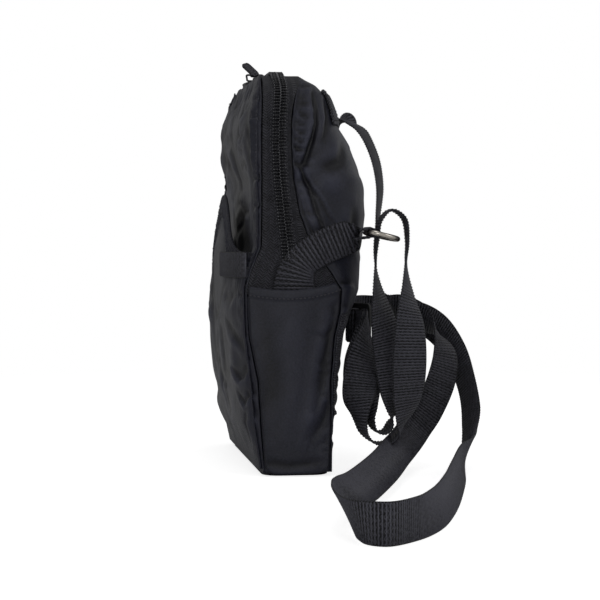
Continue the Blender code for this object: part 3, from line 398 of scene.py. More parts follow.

# %% [markdown]
# ## Making a piece of cloth
#
# A piece of cloth starts as a grid of points. Folds are pressed into the grid along strokes: a groove
# with a softer ridge beside it. How far each point moved is kept on it as its fold shade, which the finish
# paints as shade in the grooves and a highlight on the ridges. The grid becomes a mesh with a flat map in
# metres, and Solidify gives it its thickness. Before that, the solver lets the large sheets buckle. Its
# shift is scaled down, and more so inwards, because nothing in the scene fills the bag.


# %% Lengths and directions
def unit(vectors):
    """Vectors made one long."""
    return vectors / np.maximum(np.linalg.norm(vectors, axis=-1, keepdims=True), 1e-9)


def line_lengths(line):
    """Length along a line of points, from its first."""
    return np.concatenate([[0], np.cumsum(np.linalg.norm(np.diff(line, axis=0), axis=1))])


def read_along(marks, lengths, rows):
    """A line's points, or what else it carries, read at other lengths."""
    return np.stack([np.interp(marks, lengths, rows[:, k]) for k in range(rows.shape[1])], -1)


def distances(grid, axis):
    """Length along the rows or columns of a grid, from its first line."""
    steps = np.linalg.norm(np.diff(grid, axis=axis), axis=2)
    start = np.zeros_like(np.take(steps, [0], axis=axis))
    return np.concatenate([start, np.cumsum(steps, axis=axis)], axis=axis)


def grid_normals(grid, facing):
    """Unit normals of a grid, turned to the side that faces the given way."""
    out = unit(np.cross(np.gradient(grid, axis=1), np.gradient(grid, axis=0)))
    return out if (out * np.array(facing, float)).sum() > 0 else -out


def even_rows(grid, columns):
    """Each row of a grid sampled again by its own length, closer near its two ends."""
    t = np.linspace(-1, 1, columns)
    share = 0.5 + 0.5 * (0.55 * t + 0.45 * np.sin(np.pi / 2 * t))
    reach = distances(grid[:, :, :3], 1)
    return np.array([read_along(share, row, line) for row, line in zip(reach / reach[:, -1:], grid)])


# %% Meshes
def keep_values(mesh, label, kind, values):
    """Keep a number or a direction on each point of a mesh."""
    kept = mesh.attributes.new(label, kind, "POINT")
    field = "vector" if kind == "FLOAT_VECTOR" else "value"
    kept.data.foreach_set(field, np.asarray(values, np.float32).ravel())


def flat_map(mesh, flat):
    """Lay a mesh out flat, in metres, from one place for each of its points."""
    loops = np.empty(len(mesh.loops), np.int32)
    mesh.loops.foreach_get("vertex_index", loops)
    mesh.uv_layers.new(name="flat").data.foreach_set("uv", flat[loops].ravel())


def mesh_piece(name, points, faces, finish, flat, fold=None):
    """A smooth mesh from points in millimetres, with its flat map and its painted fold shade."""
    mesh = bpy.data.meshes.new(name)
    mesh.from_pydata((np.asarray(points, float).reshape(-1, 3) * MM).tolist(), [], faces)
    mesh.materials.append(finish)
    mesh.shade_smooth()
    flat_map(mesh, np.asarray(flat).reshape(-1, 2) * MM)
    if fold is not None:
        keep_values(mesh, "fold", "FLOAT", fold)
    return add_object(name, mesh)


def sheet(name, grid, finish, facing, fold=None):
    """A sheet of cloth without thickness, from its grid of outer points."""
    index = np.arange(grid[:, :, 0].size).reshape(grid.shape[:2])
    quads = np.stack([index[:-1, :-1], index[:-1, 1:], index[1:, 1:], index[1:, :-1]], -1).reshape(-1, 4)
    turned = np.cross(grid[:-1, 1:] - grid[:-1, :-1], grid[1:, :-1] - grid[:-1, :-1]).sum((0, 1))
    if turned @ np.array(facing, float) < 0:
        quads = quads[:, ::-1]
    return mesh_piece(name, grid, quads.tolist(), finish, np.stack([distances(grid, 1), distances(grid, 0)], -1), fold)


CLOTH_THICK = 1.2


def cloth_piece(name, grid, finish, facing, fold=None, thick=CLOTH_THICK):
    """A sheet of cloth with its thickness added inwards."""
    piece = sheet(name, grid, finish, facing, fold)
    wall = piece.modifiers.new("thickness", "SOLIDIFY")
    wall.thickness = thick * MM
    wall.offset = -1.0
    return piece


def mesh_points(mesh):
    """The points of a mesh, in metres."""
    points = np.empty(len(mesh.vertices) * 3)
    mesh.vertices.foreach_get("co", points)
    return points.reshape(-1, 3)


def place_piece(piece, body, slot, *nodes):
    """Say what a piece moves with and which solids it stands for. Its slot, whose finish it takes, is not used."""
    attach(piece, body)
    if nodes:
        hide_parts(*nodes)
    return piece


def nylon_piece(name, grid, facing, fold, node):
    """A sheet of the bag's own cloth, in place of one solid."""
    return place_piece(cloth_piece(name, grid, NYLON, facing, fold), "bag", "black_nylon", node)


# %% Folds
def press_folds(across, height, strokes):
    """How far cloth stands off its smooth shape, from strokes of (depth, width, point, point, ...)."""
    field = np.zeros(across.shape)
    for depth, width, *marks in strokes:
        lengths = [math.dist(a, b) for a, b in zip(marks, marks[1:])]
        total = sum(lengths)
        best = np.full(across.shape, 1e9)
        signed = np.zeros(across.shape)
        along = np.zeros(across.shape)
        done = 0.0
        for (a0, z0), (a1, z1), size in zip(marks, marks[1:], lengths):
            da, dz = a1 - a0, z1 - z0
            t = np.clip(((across - a0) * da + (height - z0) * dz) / (size * size), 0, 1)
            gap_a, gap_z = across - a0 - t * da, height - z0 - t * dz
            away = np.hypot(gap_a, gap_z)
            nearer = away < best
            signed = np.where(nearer, away * np.sign(gap_a * dz - gap_z * da), signed)
            along = np.where(nearer, (done + t * size) / total, along)
            best = np.minimum(best, away)
            done += size
        fade = np.sin(np.pi * np.clip(0.04 + 0.92 * along, 0, 1)) ** 0.6
        groove = np.exp(-((signed / width) ** 2))
        ridge = 0.6 * np.exp(-(((signed - 2.0 * width) / (1.4 * width)) ** 2))
        field += depth * fade * (ridge - groove)
    return field


def loose_strokes(seed, count, across, height, depth, width, length, lean):
    """Strokes scattered over an area, the same each time, leaning about a mean angle in degrees."""
    draw = np.random.RandomState(seed)
    strokes = []
    for _ in range(count):
        middle = np.array((draw.uniform(*across), draw.uniform(*height)))
        angle = math.radians(draw.normal(*lean))
        long = draw.uniform(*length)
        way = np.array((math.cos(angle), math.sin(angle)))
        bow = np.array((-way[1], way[0])) * long * draw.uniform(-0.22, 0.22)
        marks = [tuple(middle - way * long / 2), tuple(middle + bow), tuple(middle + way * long / 2)]
        strokes.append((draw.uniform(*depth), draw.uniform(*width), *marks))
    return strokes


def scatter(seed, areas):
    """Loose strokes over several areas, each with a seed of its own."""
    return [stroke for k, area in enumerate(areas) for stroke in loose_strokes(seed + k, *area)]


def fold_grid(grid, facing, field):
    """Move a grid out by a field, and give each point its fold shade: painted shade where it sinks, a painted
    highlight where it rises.
    """
    return grid + grid_normals(grid, facing) * field[..., None], np.clip(field / 1.6, -1, 1)


SKIP = 3
SOLVER_FRAMES = 20
SEWN_EDGE = 16.0
INWARD_CUT = 0.55


def settle(grid, growth, cap, facing):
    """Let a coarse copy of a sheet grow and buckle between its sewn edges, scaled so that none moves past the cap."""
    down, over = (np.unique(np.append(np.arange(0, n, SKIP), n - 1)) for n in grid.shape[:2])
    coarse = grid[np.ix_(down, over)]
    piece = sheet("settling", coarse, NYLON, facing)
    index = np.arange(len(down) * len(over)).reshape(len(down), len(over))
    edge = np.unique(np.concatenate([index[0], index[-1], index[:, 0], index[:, -1]]))
    piece.vertex_groups.new(name="sewn").add([int(v) for v in edge], 1.0, "REPLACE")
    cloth = piece.modifiers.new("cloth", "CLOTH")
    cloth.settings.quality = 6
    cloth.settings.vertex_group_mass = "sewn"
    cloth.settings.shrink_min = -growth
    cloth.settings.bending_stiffness = 2.0
    cloth.settings.effector_weights.gravity = 0.0
    cloth.collision_settings.use_collision = False
    cloth.point_cache.frame_end = SOLVER_FRAMES
    for step in range(1, SOLVER_FRAMES + 1):
        scene.frame_set(step)
    after = piece.evaluated_get(bpy.context.evaluated_depsgraph_get())
    moved = mesh_points(after.data)
    scene.frame_set(1)
    bpy.data.objects.remove(piece, do_unlink=True)
    shift = moved.reshape(coarse.shape) / MM - coarse
    size = np.linalg.norm(shift, axis=2, keepdims=True)
    most, half, over_cap = float(size.max()), float(np.median(size)), float((size > cap).mean())
    print("solver moved it up to", round(most, 1), "mm, half of it under", round(half, 1))
    print("over the limit of", cap, "mm before scaling:", round(100 * over_cap), "% of points")
    shift *= min(1.0, cap / most)
    rows, columns = np.arange(grid.shape[0]), np.arange(grid.shape[1])
    shift = np.stack([read_along(columns, over, line) for line in shift])
    shift = np.stack([read_along(rows, down, shift[:, c]) for c in columns], 1)
    outward = shift @ np.array(facing, float)
    shift -= (np.minimum(outward, 0) * INWARD_CUT)[:, :, None] * np.array(facing, float)
    along, across = distances(grid, 0), distances(grid, 1)
    edge = np.minimum(np.minimum(along, along[-1:] - along), np.minimum(across, across[:, -1:] - across))
    return grid + shift * np.clip(edge / SEWN_EDGE, 0, 1)[:, :, None] ** 1.5


# %% [markdown]
# ## Flat bands
#
# Webbing, bindings and rolled edges are all a band swept along a line, with its width turned as it goes.
# The band's section is a flat rounded loop, so its edges catch the light. The line is a curve through a
# few given points; each point also says which way the band's width points there.


# %% Bands
def blend(t, start, stop, first, last):
    """What lies between two points, as far along as t is between their knots."""
    return (stop - t) / (stop - start) * first + (t - start) / (stop - start) * last


def smooth_line(rows, between):
    """A curve through given points, each with its own width direction."""
    rows = np.array(rows, float)
    ends = np.vstack([2 * rows[0] - rows[1], rows, 2 * rows[-1] - rows[-2]])
    out = []
    for k in range(len(rows) - 1):
        p = ends[k : k + 4]
        knots = np.cumsum([0.0] + [np.linalg.norm((b - a)[:3]) ** 0.5 for a, b in zip(p, p[1:])])
        for t in np.linspace(knots[1], knots[2], between, endpoint=False):
            near = [blend(t, knots[i], knots[i + 1], p[i], p[i + 1]) for i in range(3)]
            wide = [blend(t, knots[i], knots[i + 2], near[i], near[i + 1]) for i in range(2)]
            out.append(blend(t, knots[1], knots[2], *wide))
    out.append(rows[-1])
    return np.array(out)


def even_line(rows, step):
    """The same line with its points a fixed step apart."""
    lengths = line_lengths(rows[:, :3])
    marks = np.linspace(0, lengths[-1], max(int(round(lengths[-1] / step)), 2) + 1)
    return read_along(marks, lengths, rows), marks


def band_frames(rows):
    """Across and off the face of a band at each of its places."""
    places, widths = rows[:, :3], rows[:, 3:]
    along = unit(np.gradient(places, axis=0))
    across = unit(widths - np.sum(widths * along, axis=1)[:, None] * along)
    return across, np.cross(along, across)


SECTION = 14


def band_piece(name, rows, width, thick, finish, tone=None):
    """A flat rounded band along a line, closed at both ends."""
    places = rows[:, :3]
    across, face = band_frames(rows)
    turns = 2 * np.pi * np.arange(SECTION) / SECTION
    side = np.sign(np.cos(turns)) * np.abs(np.cos(turns)) ** 0.45 / 2
    lift = np.sign(np.sin(turns)) * np.abs(np.sin(turns)) ** 0.8 / 2
    aside = side[None, :] * np.broadcast_to(width, len(places))[:, None]
    points = places[:, None] + across[:, None] * aside[:, :, None] + face[:, None] * (lift[None, :, None] * thick)
    index = np.arange(aside.size).reshape(aside.shape)
    after = np.roll(index, -1, axis=1)
    quads = np.stack([index[:-1], index[1:], after[1:], after[:-1]], -1).reshape(-1, 4).tolist()
    quads += [index[0].tolist(), index[-1][::-1].tolist()]
    flat = np.stack([aside, np.broadcast_to(line_lengths(places)[:, None], index.shape)], -1)
    # A tone given along the band is kept as its fold shade, which the finish paints as light and shade.
    fold = None if tone is None else np.broadcast_to(np.asarray(tone)[:, None], index.shape)
    return mesh_piece(name, points, quads, finish, flat, fold)


# %% [markdown]
# ## Things that repeat
#
# Stitches, ribs and zip teeth are the same small shape many times over. Each place is a point that knows
# its side and its up direction, and one tree of Geometry Nodes puts the shape on each point, scales it
# and gives it its finish. The result is then made a plain mesh.


# %% Repeats
BASES = {
    "bar": ("GeometryNodeMeshCylinder", {"Vertices": 8, "Radius": 0.5, "Depth": 1.0}),
    "bead": ("GeometryNodeMeshUVSphere", {"Segments": 8, "Rings": 4, "Radius": 0.5}),
}
ON_POINTS = {"side": "FLOAT_VECTOR", "up": "FLOAT_VECTOR", "stretch": "FLOAT"}


def repeat_tree(shape):
    """A tree that lays a small bar or bead on each point."""
    tree = bpy.data.node_groups.new("lay_" + shape, "GeometryNodeTree")
    kinds = {"Geometry": "Geometry", "Long": "Float", "Wide": "Float", "High": "Float", "Finish": "Material"}
    for label, kind in kinds.items():
        tree.interface.new_socket(label, in_out="INPUT", socket_type="NodeSocket" + kind)
    tree.interface.new_socket("Geometry", in_out="OUTPUT", socket_type="NodeSocketGeometry")
    ins = tree.nodes.new("NodeGroupInput").outputs
    turned = {"Geometry": add_node(tree, *BASES[shape]), "Rotation": (0.0, math.pi / 2, 0.0)}
    turned = add_node(tree, "GeometryNodeTransform", turned)
    known = {
        label: add_node(tree, "GeometryNodeInputNamedAttribute", {"Name": label}, data_type=kind)
        for label, kind in ON_POINTS.items()
    }
    way = add_node(tree, "FunctionNodeAlignRotationToVector", {"Vector": known["side"]}, axis="X")
    ways = {"Rotation": way, "Vector": known["up"]}
    way = add_node(tree, "FunctionNodeAlignRotationToVector", ways, axis="Z", pivot_axis="X")
    longer = math_node(tree, "MULTIPLY", ins["Long"], known["stretch"].outputs[0])
    scale = add_node(tree, "ShaderNodeCombineXYZ", {0: longer, 1: ins["Wide"], 2: ins["High"]})
    laid = {"Points": ins["Geometry"], "Instance": turned, "Rotation": way, "Scale": scale}
    made = add_node(tree, "GeometryNodeInstanceOnPoints", laid)
    for kind in ("GeometryNodeRealizeInstances", "GeometryNodeSetShadeSmooth"):
        made = add_node(tree, kind, {0: made})
    made = add_node(tree, "GeometryNodeSetMaterial", {"Geometry": made, "Material": ins["Finish"]})
    add_node(tree, "NodeGroupOutput", {0: made})
    return tree


TREES = {shape: repeat_tree(shape) for shape in BASES}


def plain_mesh(piece, finish):
    """The mesh that a piece's modifiers or its bevel give, with one finish."""
    mesh = bpy.data.meshes.new_from_object(piece.evaluated_get(bpy.context.evaluated_depsgraph_get()))
    mesh.materials.clear()
    mesh.materials.append(finish)
    return mesh


def repeat(name, shape, places, sides, ups, size, finish, stretch=1.0):
    """The shape on every place, in millimetres, as one plain mesh; each may be stretched along its side."""
    mesh = bpy.data.meshes.new(name)
    mesh.from_pydata((np.asarray(places) * MM).tolist(), [], [])
    for (label, kind), values in zip(ON_POINTS.items(), (sides, ups, np.full(len(places), stretch, np.float32))):
        keep_values(mesh, label, kind, values)
    piece = add_object(name, mesh)
    laid = piece.modifiers.new("lay", "NODES")
    laid.node_group = TREES[shape]
    sockets = {s.name: s.identifier for s in TREES[shape].interface.items_tree if s.in_out == "INPUT"}
    for label, value in zip(("Long", "Wide", "High"), size):
        laid[sockets[label]] = float(value) * MM
    laid[sockets["Finish"]] = finish
    result = plain_mesh(piece, finish)
    piece.modifiers.clear()
    piece.data = result
    result.polygons.foreach_set("material_index", [0] * len(result.polygons))
    bpy.data.meshes.remove(mesh)
    result.name = name
    return piece


def join_pieces(first, *others):
    """Join meshes of one finish into the first."""
    shape = bmesh.new()
    for piece in (first, *others):
        shape.from_mesh(piece.data)
    shape.to_mesh(first.data)
    shape.free()
    for other in others:
        bpy.data.objects.remove(other, do_unlink=True)
    first.data.shade_smooth()
    return first


# %% Stitch lines
stitch_places = {}


def sew(group, line, normals, pitch, lift=0.15):
    """Stitches along a line on the cloth, kept in a group until all are known."""
    lengths = line_lengths(line)
    marks = np.arange(pitch / 2, lengths[-1], pitch)
    at, up = read_along(marks, lengths, line), read_along(marks, lengths, normals)
    sides = unit(read_along(marks + 0.5, lengths, line) - at)
    for kept, values in zip(stitch_places.setdefault(group, ([], [], [])), (at + up * lift, sides, up)):
        kept.append(values)


def inset_line(grid, facing, distance, last):
    """A line a fixed way in from the first or last column of a grid, with its normals."""
    both = np.concatenate([grid, grid_normals(grid, facing)], axis=2)
    if last:
        both = both[:, ::-1]
    rows = [read_along(distance, reach, line) for reach, line in zip(distances(both[:, :, :3], 1), both)]
    return np.array(rows)[:, :3], np.array(rows)[:, 3:]


print("helpers ready")

# %% [markdown]
# ## The shoulder strap
#
# The strap is one length of flat webbing. Its sewn end goes round the adjuster's middle bar; it drops
# down the near end, comes up through the ring, goes back down to the adjuster, behind the bag, out along
# the floor in one long loop, and up over the back to the far ring. A cord made as a band along a curve
# keeps its width and its length exactly, so it is laid through listed points, and not simulated. Where
# the band meets the floor it is lifted to lie on its own edge.

# %% Strap line
STRAP_ROUTE = (
    (60, 40.9, 84, 0, 0, -1), (57, 40.8, 84, 0, 0, -1), (52, 39.9, 84, 0, 0, -1),
    (49.9, 39.8, 84, 0, 0, -1), (47.9, 41.9, 84, 0, 0, -1), (49.9, 44, 84, 0, 0, -1),
    (52, 43.8, 84, 0, 0, -1), (58.5, 42.4, 84, 0, 0, -1), (66.2, 41.5, 82.4, -0.4, 0.24, -0.89),
    (72.1, 39, 75.6, -0.53, 0.65, -0.54), (76.1, 37.3, 65.4, -0.18, 0.95, -0.25),
    (79.6, 36.6, 55.4, 0.13, 0.99, -0.08), (82.6, 37.9, 46, 0.45, 0.9, 0), (85.3, 39.8, 38, 0.85, 0.5, 0),
    (87, 41.4, 31, 1, 0.1, 0), (87.6, 43.8, 26, 1, 0, 0), (88, 48.5, 25, 1, 0, 0),
    (88.6, 52.6, 30, 1, 0, 0), (89, 54.4, 38.5, 0.8, -0.6, 0), (89, 54.3, 50, 0.4, -0.9, 0),
    (88.5, 51.6, 72, 0.25, -1, 0), (89.5, 47.8, 90.5, 0.6, -0.8, 0), (90, 44.3, 109.5, 0.95, -0.4, 0),
    (90, 43.3, 124, 1, -0.15, 0), (90, 44.2, 136.5, 1, -0.05, 0), (90, 45.8, 146, 1, -0.05, 0),
    (90.3, 52.2, 152.4, 1, -0.05, 0), (90.6, 59.6, 147.8, 1, -0.05, 0), (91, 61.6, 135, 1, -0.1, 0),
    (93, 60.6, 122.7, 1, -0.2, 0), (97.5, 60.8, 105.8, 0.85, -0.5, 0), (102.5, 60.9, 87.2, 0.4, -0.9, 0),
    (103.5, 60.6, 66, 0.1, -1, 0), (100, 60.5, 48, 0.35, -0.93, 0), (95.5, 59.3, 34, 0.8, -0.6, 0),
    (92.3, 56.8, 25, 1, -0.1, 0), (90.5, 51, 19.6, 1, 0, 0), (89.2, 43.2, 19.2, 1, 0, 0),
    (88.4, 37.2, 24.5, 1, 0.1, 0), (88.4, 35, 32, 1, 0.25, 0), (88.2, 34.4, 38.5, 0.85, 0.5, 0),
    (86.4, 34.6, 46.5, 0.45, 0.9, 0), (83.2, 36.2, 56.6, 0.13, 0.99, -0.08),
    (79.5, 38.3, 66.6, -0.18, 0.95, -0.25), (74.3, 41.4, 76.4, -0.53, 0.65, -0.54),
    (66.8, 43.9, 82.8, -0.4, 0.24, -0.89), (58.5, 44.1, 84, 0, 0, -1), (50, 45.5, 84, 0, 0, -1),
    (45.8, 43.2, 84, 0, 0, -1), (44.2, 38.4, 84.2, 0, 0, -1), (41.6, 35.9, 84.3, 0, 0, -1),
    (36, 36, 84.8, 0, 0, -1), (14, 42.5, 88.5, 0, 0, -1), (-12, 46, 90, 0, 0, -1),
    (-23, 58, 90.5, 0, 0, -1), (-8.6, 79, 88.3, 0, 0, -1), (1.1, 89.8, 86.1, -0.1, -0.1, -1),
    (12.4, 98.1, 79.7, -0.3, -0.3, -0.8), (25.6, 105.8, 65.6, -0.8, -0.45, -0.4),
    (38.3, 109.7, 46.9, -0.9, -0.3, -0.1), (50.4, 109.3, 30, -0.95, -0.25, 0),
    (61, 105.6, 17.5, -0.9, -0.2, -0.45), (80, 99.5, 11.8, -0.35, -0.3, -0.9),
    (112, 89.7, 10.6, 0, 0.1, -1), (171.4, 72.7, 10.4, 0.08, 0.25, -0.97),
    (242.1, 51.4, 10.4, 0, 0.3, -0.95), (285.2, 35.3, 10.4, 0, 0.25, -1), (312.3, 20.1, 10.6, 0, 0.05, -1),
    (325.3, 4.8, 10.6, 0, 0, -1), (317.7, -5.8, 10.6, 0, 0.2, -1), (296.1, -8.3, 11.2, 0, 0.4, -0.9),
    (278.1, -7.1, 14.6, 0, 0.55, -0.8), (263, -1, 16.5, 0.3, 0.6, -0.6),
    (240, 7.5, 15, 0.35, 0.6, -0.65), (195, 22.5, 13.8, 0.3, 0.6, -0.7),
    (150, 38, 14.2, 0.3, 0.6, -0.7), (105, 52.5, 15.5, 0.3, 0.65, -0.65), (70, 65, 17.5, 0.2, 0.7, -0.6),
    (56, 74.3, 24.2, -0.1, 0.8, -0.5), (53, 82, 33.5, -0.2, 0.9, -0.4), (51, 91, 52, -0.3, 0.9, -0.2),
    (47, 94, 68, -0.5, 0.8, -0.2), (42, 90, 80, -0.6, 0.5, -0.6), (35.5, 82, 88.5, -0.4, 0.1, -0.9),
    (27.9, 72, 93.6, -0.5, 0, -0.8), (21.8, 62.9, 99, -1, 0.05, -0.2), (18.7, 57.8, 108.9, -1, 0.12, 0),
    (16.6, 57.5, 126.2, -1, 0.2, 0), (12.8, 59.2, 147.7, -1, 0.3, 0), (9.1, 61.1, 169.4, -0.95, 0.4, 0),
    (2.6, 58.2, 189.4, -0.95, 0.42, 0.1), (-6.5, 51.3, 204.7, -0.96, 0.3, 0.2), (-17.8, 42.8, 210.1, -1, 0.12, 0),
    (-33, 41.5, 204, -1, 0.2, 0), (-52, 46, 187, -1, 0.25, -0.2), (-70, 51, 167, -1, 0.15, -0.1),
    (-85, 53, 152, -1, 0.1, 0), (-89.5, 59, 145, -1, 0, 0), (-90, 60, 135.5, -1, 0, 0),
    (-90, 57.5, 126.5, -1, 0, 0), (-90, 50.5, 123.5, -1, 0, 0), (-90, 45.6, 129.5, -1, 0, 0),
    (-90, 44.6, 138.5, -1, 0, 0), (-90, 45.8, 146, -1, 0, 0),
)


STRAP_WIDTH = 20.0
FLOOR_GAP = 0.4


def lay_strap(thick=1.3):
    """The strap's middle line and width directions, a millimetre apart, clear of the floor."""
    rows = smooth_line(STRAP_ROUTE, 12)
    for _ in range(3):
        across, face = band_frames(rows)
        drop = np.abs(across[:, 2]) * STRAP_WIDTH / 2 + np.abs(face[:, 2]) * thick / 2
        rows[:, 2] = np.maximum(rows[:, 2], drop + FLOOR_GAP)
    return even_line(rows, 1.0)


strap_rows, strap_marks = lay_strap()
STRAP_LENGTH = float(strap_marks[-1])
print("strap is", round(STRAP_LENGTH), "mm long")


# %% Strap webbing
def ribbed_band(name, rows, width, thick, pitch, finish, tone=None, cover=0.8, core_shade=0.9, ease=1.0):
    """Webbing: a thin core, painted darker as shade, between two edges, with a weft rib across it at every pitch,
    painted paler as a highlight.
    """
    tone = np.zeros(len(rows)) if tone is None else tone
    # The core between the ribs is painted darker, as shade.
    core = band_piece(name, rows, width, thick, finish, tone - core_shade)
    lengths = line_lengths(rows[:, :3])
    count = int(lengths[-1] / pitch)
    marks = lengths[-1] * (1 - (1 - np.arange(0.5, count) / count) ** ease)
    widths = np.interp(marks, lengths, np.broadcast_to(width, len(rows))) - 1.4
    kept = [read_along(marks, lengths, v) for v in (rows[:, :3], *band_frames(rows))]
    ribs = repeat(name + "_ribs", "bar", *kept, (1.0, pitch * cover, thick + 0.42), finish, widths)
    each = len(ribs.data.vertices) // len(marks)
    # Each rib is painted paler, as a highlight.
    keep_values(ribs.data, "fold", "FLOAT", np.repeat(np.interp(marks, lengths, tone) + 0.6, each))
    return join_pieces(core, ribs)


# Paler and darker stretches along the strap are painted light and shade.
strap_light_and_shade = np.interp(
    strap_marks / STRAP_LENGTH,
    (0, 0.03, 0.08, 0.13, 0.2, 0.3, 0.45, 0.55, 0.7, 0.8, 1),
    (0, -0.2, 0.3, 0.1, 0.45, -0.2, -0.1, 0.5, 0.1, -0.1, 0),
)
strap = ribbed_band("strap", strap_rows, STRAP_WIDTH, 1.0, 1.7, WEBBING, strap_light_and_shade - 0.2, 0.62, 0.7)
place_piece(strap, "bag", "black_webbing", "shoulder_strap")
print("strap has", len(strap.data.polygons), "faces")

# %% [markdown]
# ## The strap's adjuster
#
# The adjuster is a flat moulded frame with a bar across its middle. A filled flat curve with two holes
# gives its outline, and the curve's own bevel rounds every edge alike. It is then made a mesh and set in
# place, because a finished piece keeps its place in its mesh.


# %% Flat plates
LEVEL = np.eye(3)


def round_corners(half_a, half_b, radius, centre=(0.0, 0.0), steps=5):
    """A rounded rectangle as a list of points."""
    points = []
    for quarter, (side_a, side_b) in enumerate(((1, 1), (-1, 1), (-1, -1), (1, -1))):
        corner = (centre[0] + side_a * (half_a - radius), centre[1] + side_b * (half_b - radius))
        for k in range(steps + 1):
            angle = math.pi / 2 * (quarter + k / steps)
            points.append((corner[0] + radius * math.cos(angle), corner[1] + radius * math.sin(angle)))
    return points


def curve_mesh(name, dimensions, outlines, bevel, rest, finish, **settings):
    """The mesh of closed curves with a bevel; the rest fills each point up to four numbers."""
    data = bpy.data.curves.new(name, "CURVE")
    data.dimensions = dimensions
    data.bevel_depth = bevel * MM
    for label, value in settings.items():
        setattr(data, label, value)
    for outline in outlines:
        spline = data.splines.new("POLY")
        spline.points.add(len(outline) - 1)
        for target, place in zip(spline.points, outline):
            target.co = (*(np.array(place) * MM), *rest)
        spline.use_cyclic_u = True
    bent = add_object(name, data)
    mesh = plain_mesh(bent, finish)
    bpy.data.objects.remove(bent, do_unlink=True)
    mesh.name = name
    return mesh


def mend(mesh, gap, fill_below=None):
    """Merge points that are closer than a gap, close holes below a height, and turn the faces outward."""
    shape = bmesh.new()
    shape.from_mesh(mesh)
    bmesh.ops.remove_doubles(shape, verts=shape.verts, dist=gap)
    if fill_below is not None:
        low = [e for e in shape.edges if e.is_boundary and e.verts[0].co.z < fill_below]
        bmesh.ops.holes_fill(shape, edges=low, sides=100)
    bmesh.ops.recalc_face_normals(shape, faces=shape.faces)
    shape.to_mesh(mesh)
    shape.free()


def plate(name, outlines, thick, bevel, finish, move, turn=LEVEL):
    """A flat plate with holes and rounded edges: an outline first, then its holes."""
    shape = {"fill_mode": "BOTH", "extrude": (thick / 2 - bevel) * MM, "offset": -bevel * MM, "bevel_resolution": 2}
    mesh = curve_mesh(name, "2D", outlines, bevel, (0, 1), finish, **shape)
    points = mesh_points(mesh) @ np.array(turn, float).T + np.array(move, float) * MM
    mesh.vertices.foreach_set("co", points.ravel())
    while mesh.uv_layers:
        mesh.uv_layers.remove(mesh.uv_layers[0])
    mend(mesh, 0.00001)
    mesh.shade_smooth()
    mesh.set_sharp_from_angle(angle=math.radians(35))
    return add_object(name, mesh)


lean = math.radians(25)
adjuster_holes = [round_corners(3.9, 10.8, 1.0, (middle, 0)) for middle in (4.7, -4.7)]
adjuster = plate(
    "adjuster_frame",
    (round_corners(10.2, 14.0, 3.2), *adjuster_holes),
    1.6,
    0.5,
    PLASTIC,
    (50.0, 41.9, 84.0),
    ((math.cos(lean), 0, math.sin(lean)), (math.sin(lean), 0, -math.cos(lean)), (0, 1, 0)),
)
place_piece(adjuster, "bag", "black_plastic", "strap_adjuster")
print("adjuster faces:", len(adjuster.data.polygons))

# %% [markdown]
# ## The front and back cloth
#
# Each face is one piece of nylon, sewn all round to the end strips and the zip. It bulges between its
# seams, and it is creased from use: short puckers pull in along every seam, long soft folds cross its
# middle, and a few deep ones lie where the bag has been squeezed. The grid is first let buckle a little
# by a cloth simulation with its edges held, and then the folds are pressed in.


# %% Face grids
def face_grid(surface, columns=170):
    """A face from seam to seam, from the base up and round the top corners."""
    share = np.sin(np.pi / 2 * np.linspace(-1, 1, 1200))
    up = np.linspace(2.3, STRAIGHT, 122)
    over = STRAIGHT + CORNER * np.sin(np.pi / 2 * np.linspace(0, 1, 27)[1:])
    z = np.concatenate([up, over])
    dense = np.stack([half_width(z)[:, None] * share, surface(share[None, :], z[:, None]), z[:, None] + 0 * share], -1)
    return even_rows(dense, columns)


def face_folds(grid, seed, special, turned, calm):
    """Puckers along the seams, loose folds in the middle, and the ones that the bag is known by."""
    reach = distances(grid[:, ::-1], 1)[:, ::-1]
    high = grid[:, :, 2]
    wide = float(reach.max())
    areas = (
        (46, (calm, wide - 8), (15, 215), (0.5, 1.5), (3.2, 6.5), (28, 76), turned),
        (40, (1, 8), (12, 224), (0.35, 1.0), (1.0, 1.9), (7, 15), (4, 14)),
        (40, (wide - 8, wide - 1), (12, 224), (0.35, 1.0), (1.0, 1.9), (7, 15), (4, 14)),
        (26, (10, wide - 10), (4, 12), (0.3, 0.8), (1.2, 2.2), (8, 18), (90, 14)),
        (26, (25, wide - 25), (214, 226), (0.3, 0.9), (1.2, 2.2), (8, 18), (90, 14)),
    )
    field = press_folds(reach, high, scatter(seed, areas) + list(special))
    edge = np.minimum(np.minimum(reach, wide - reach), TOP - high)
    return field * np.clip(edge / 2.0, 0, 1)


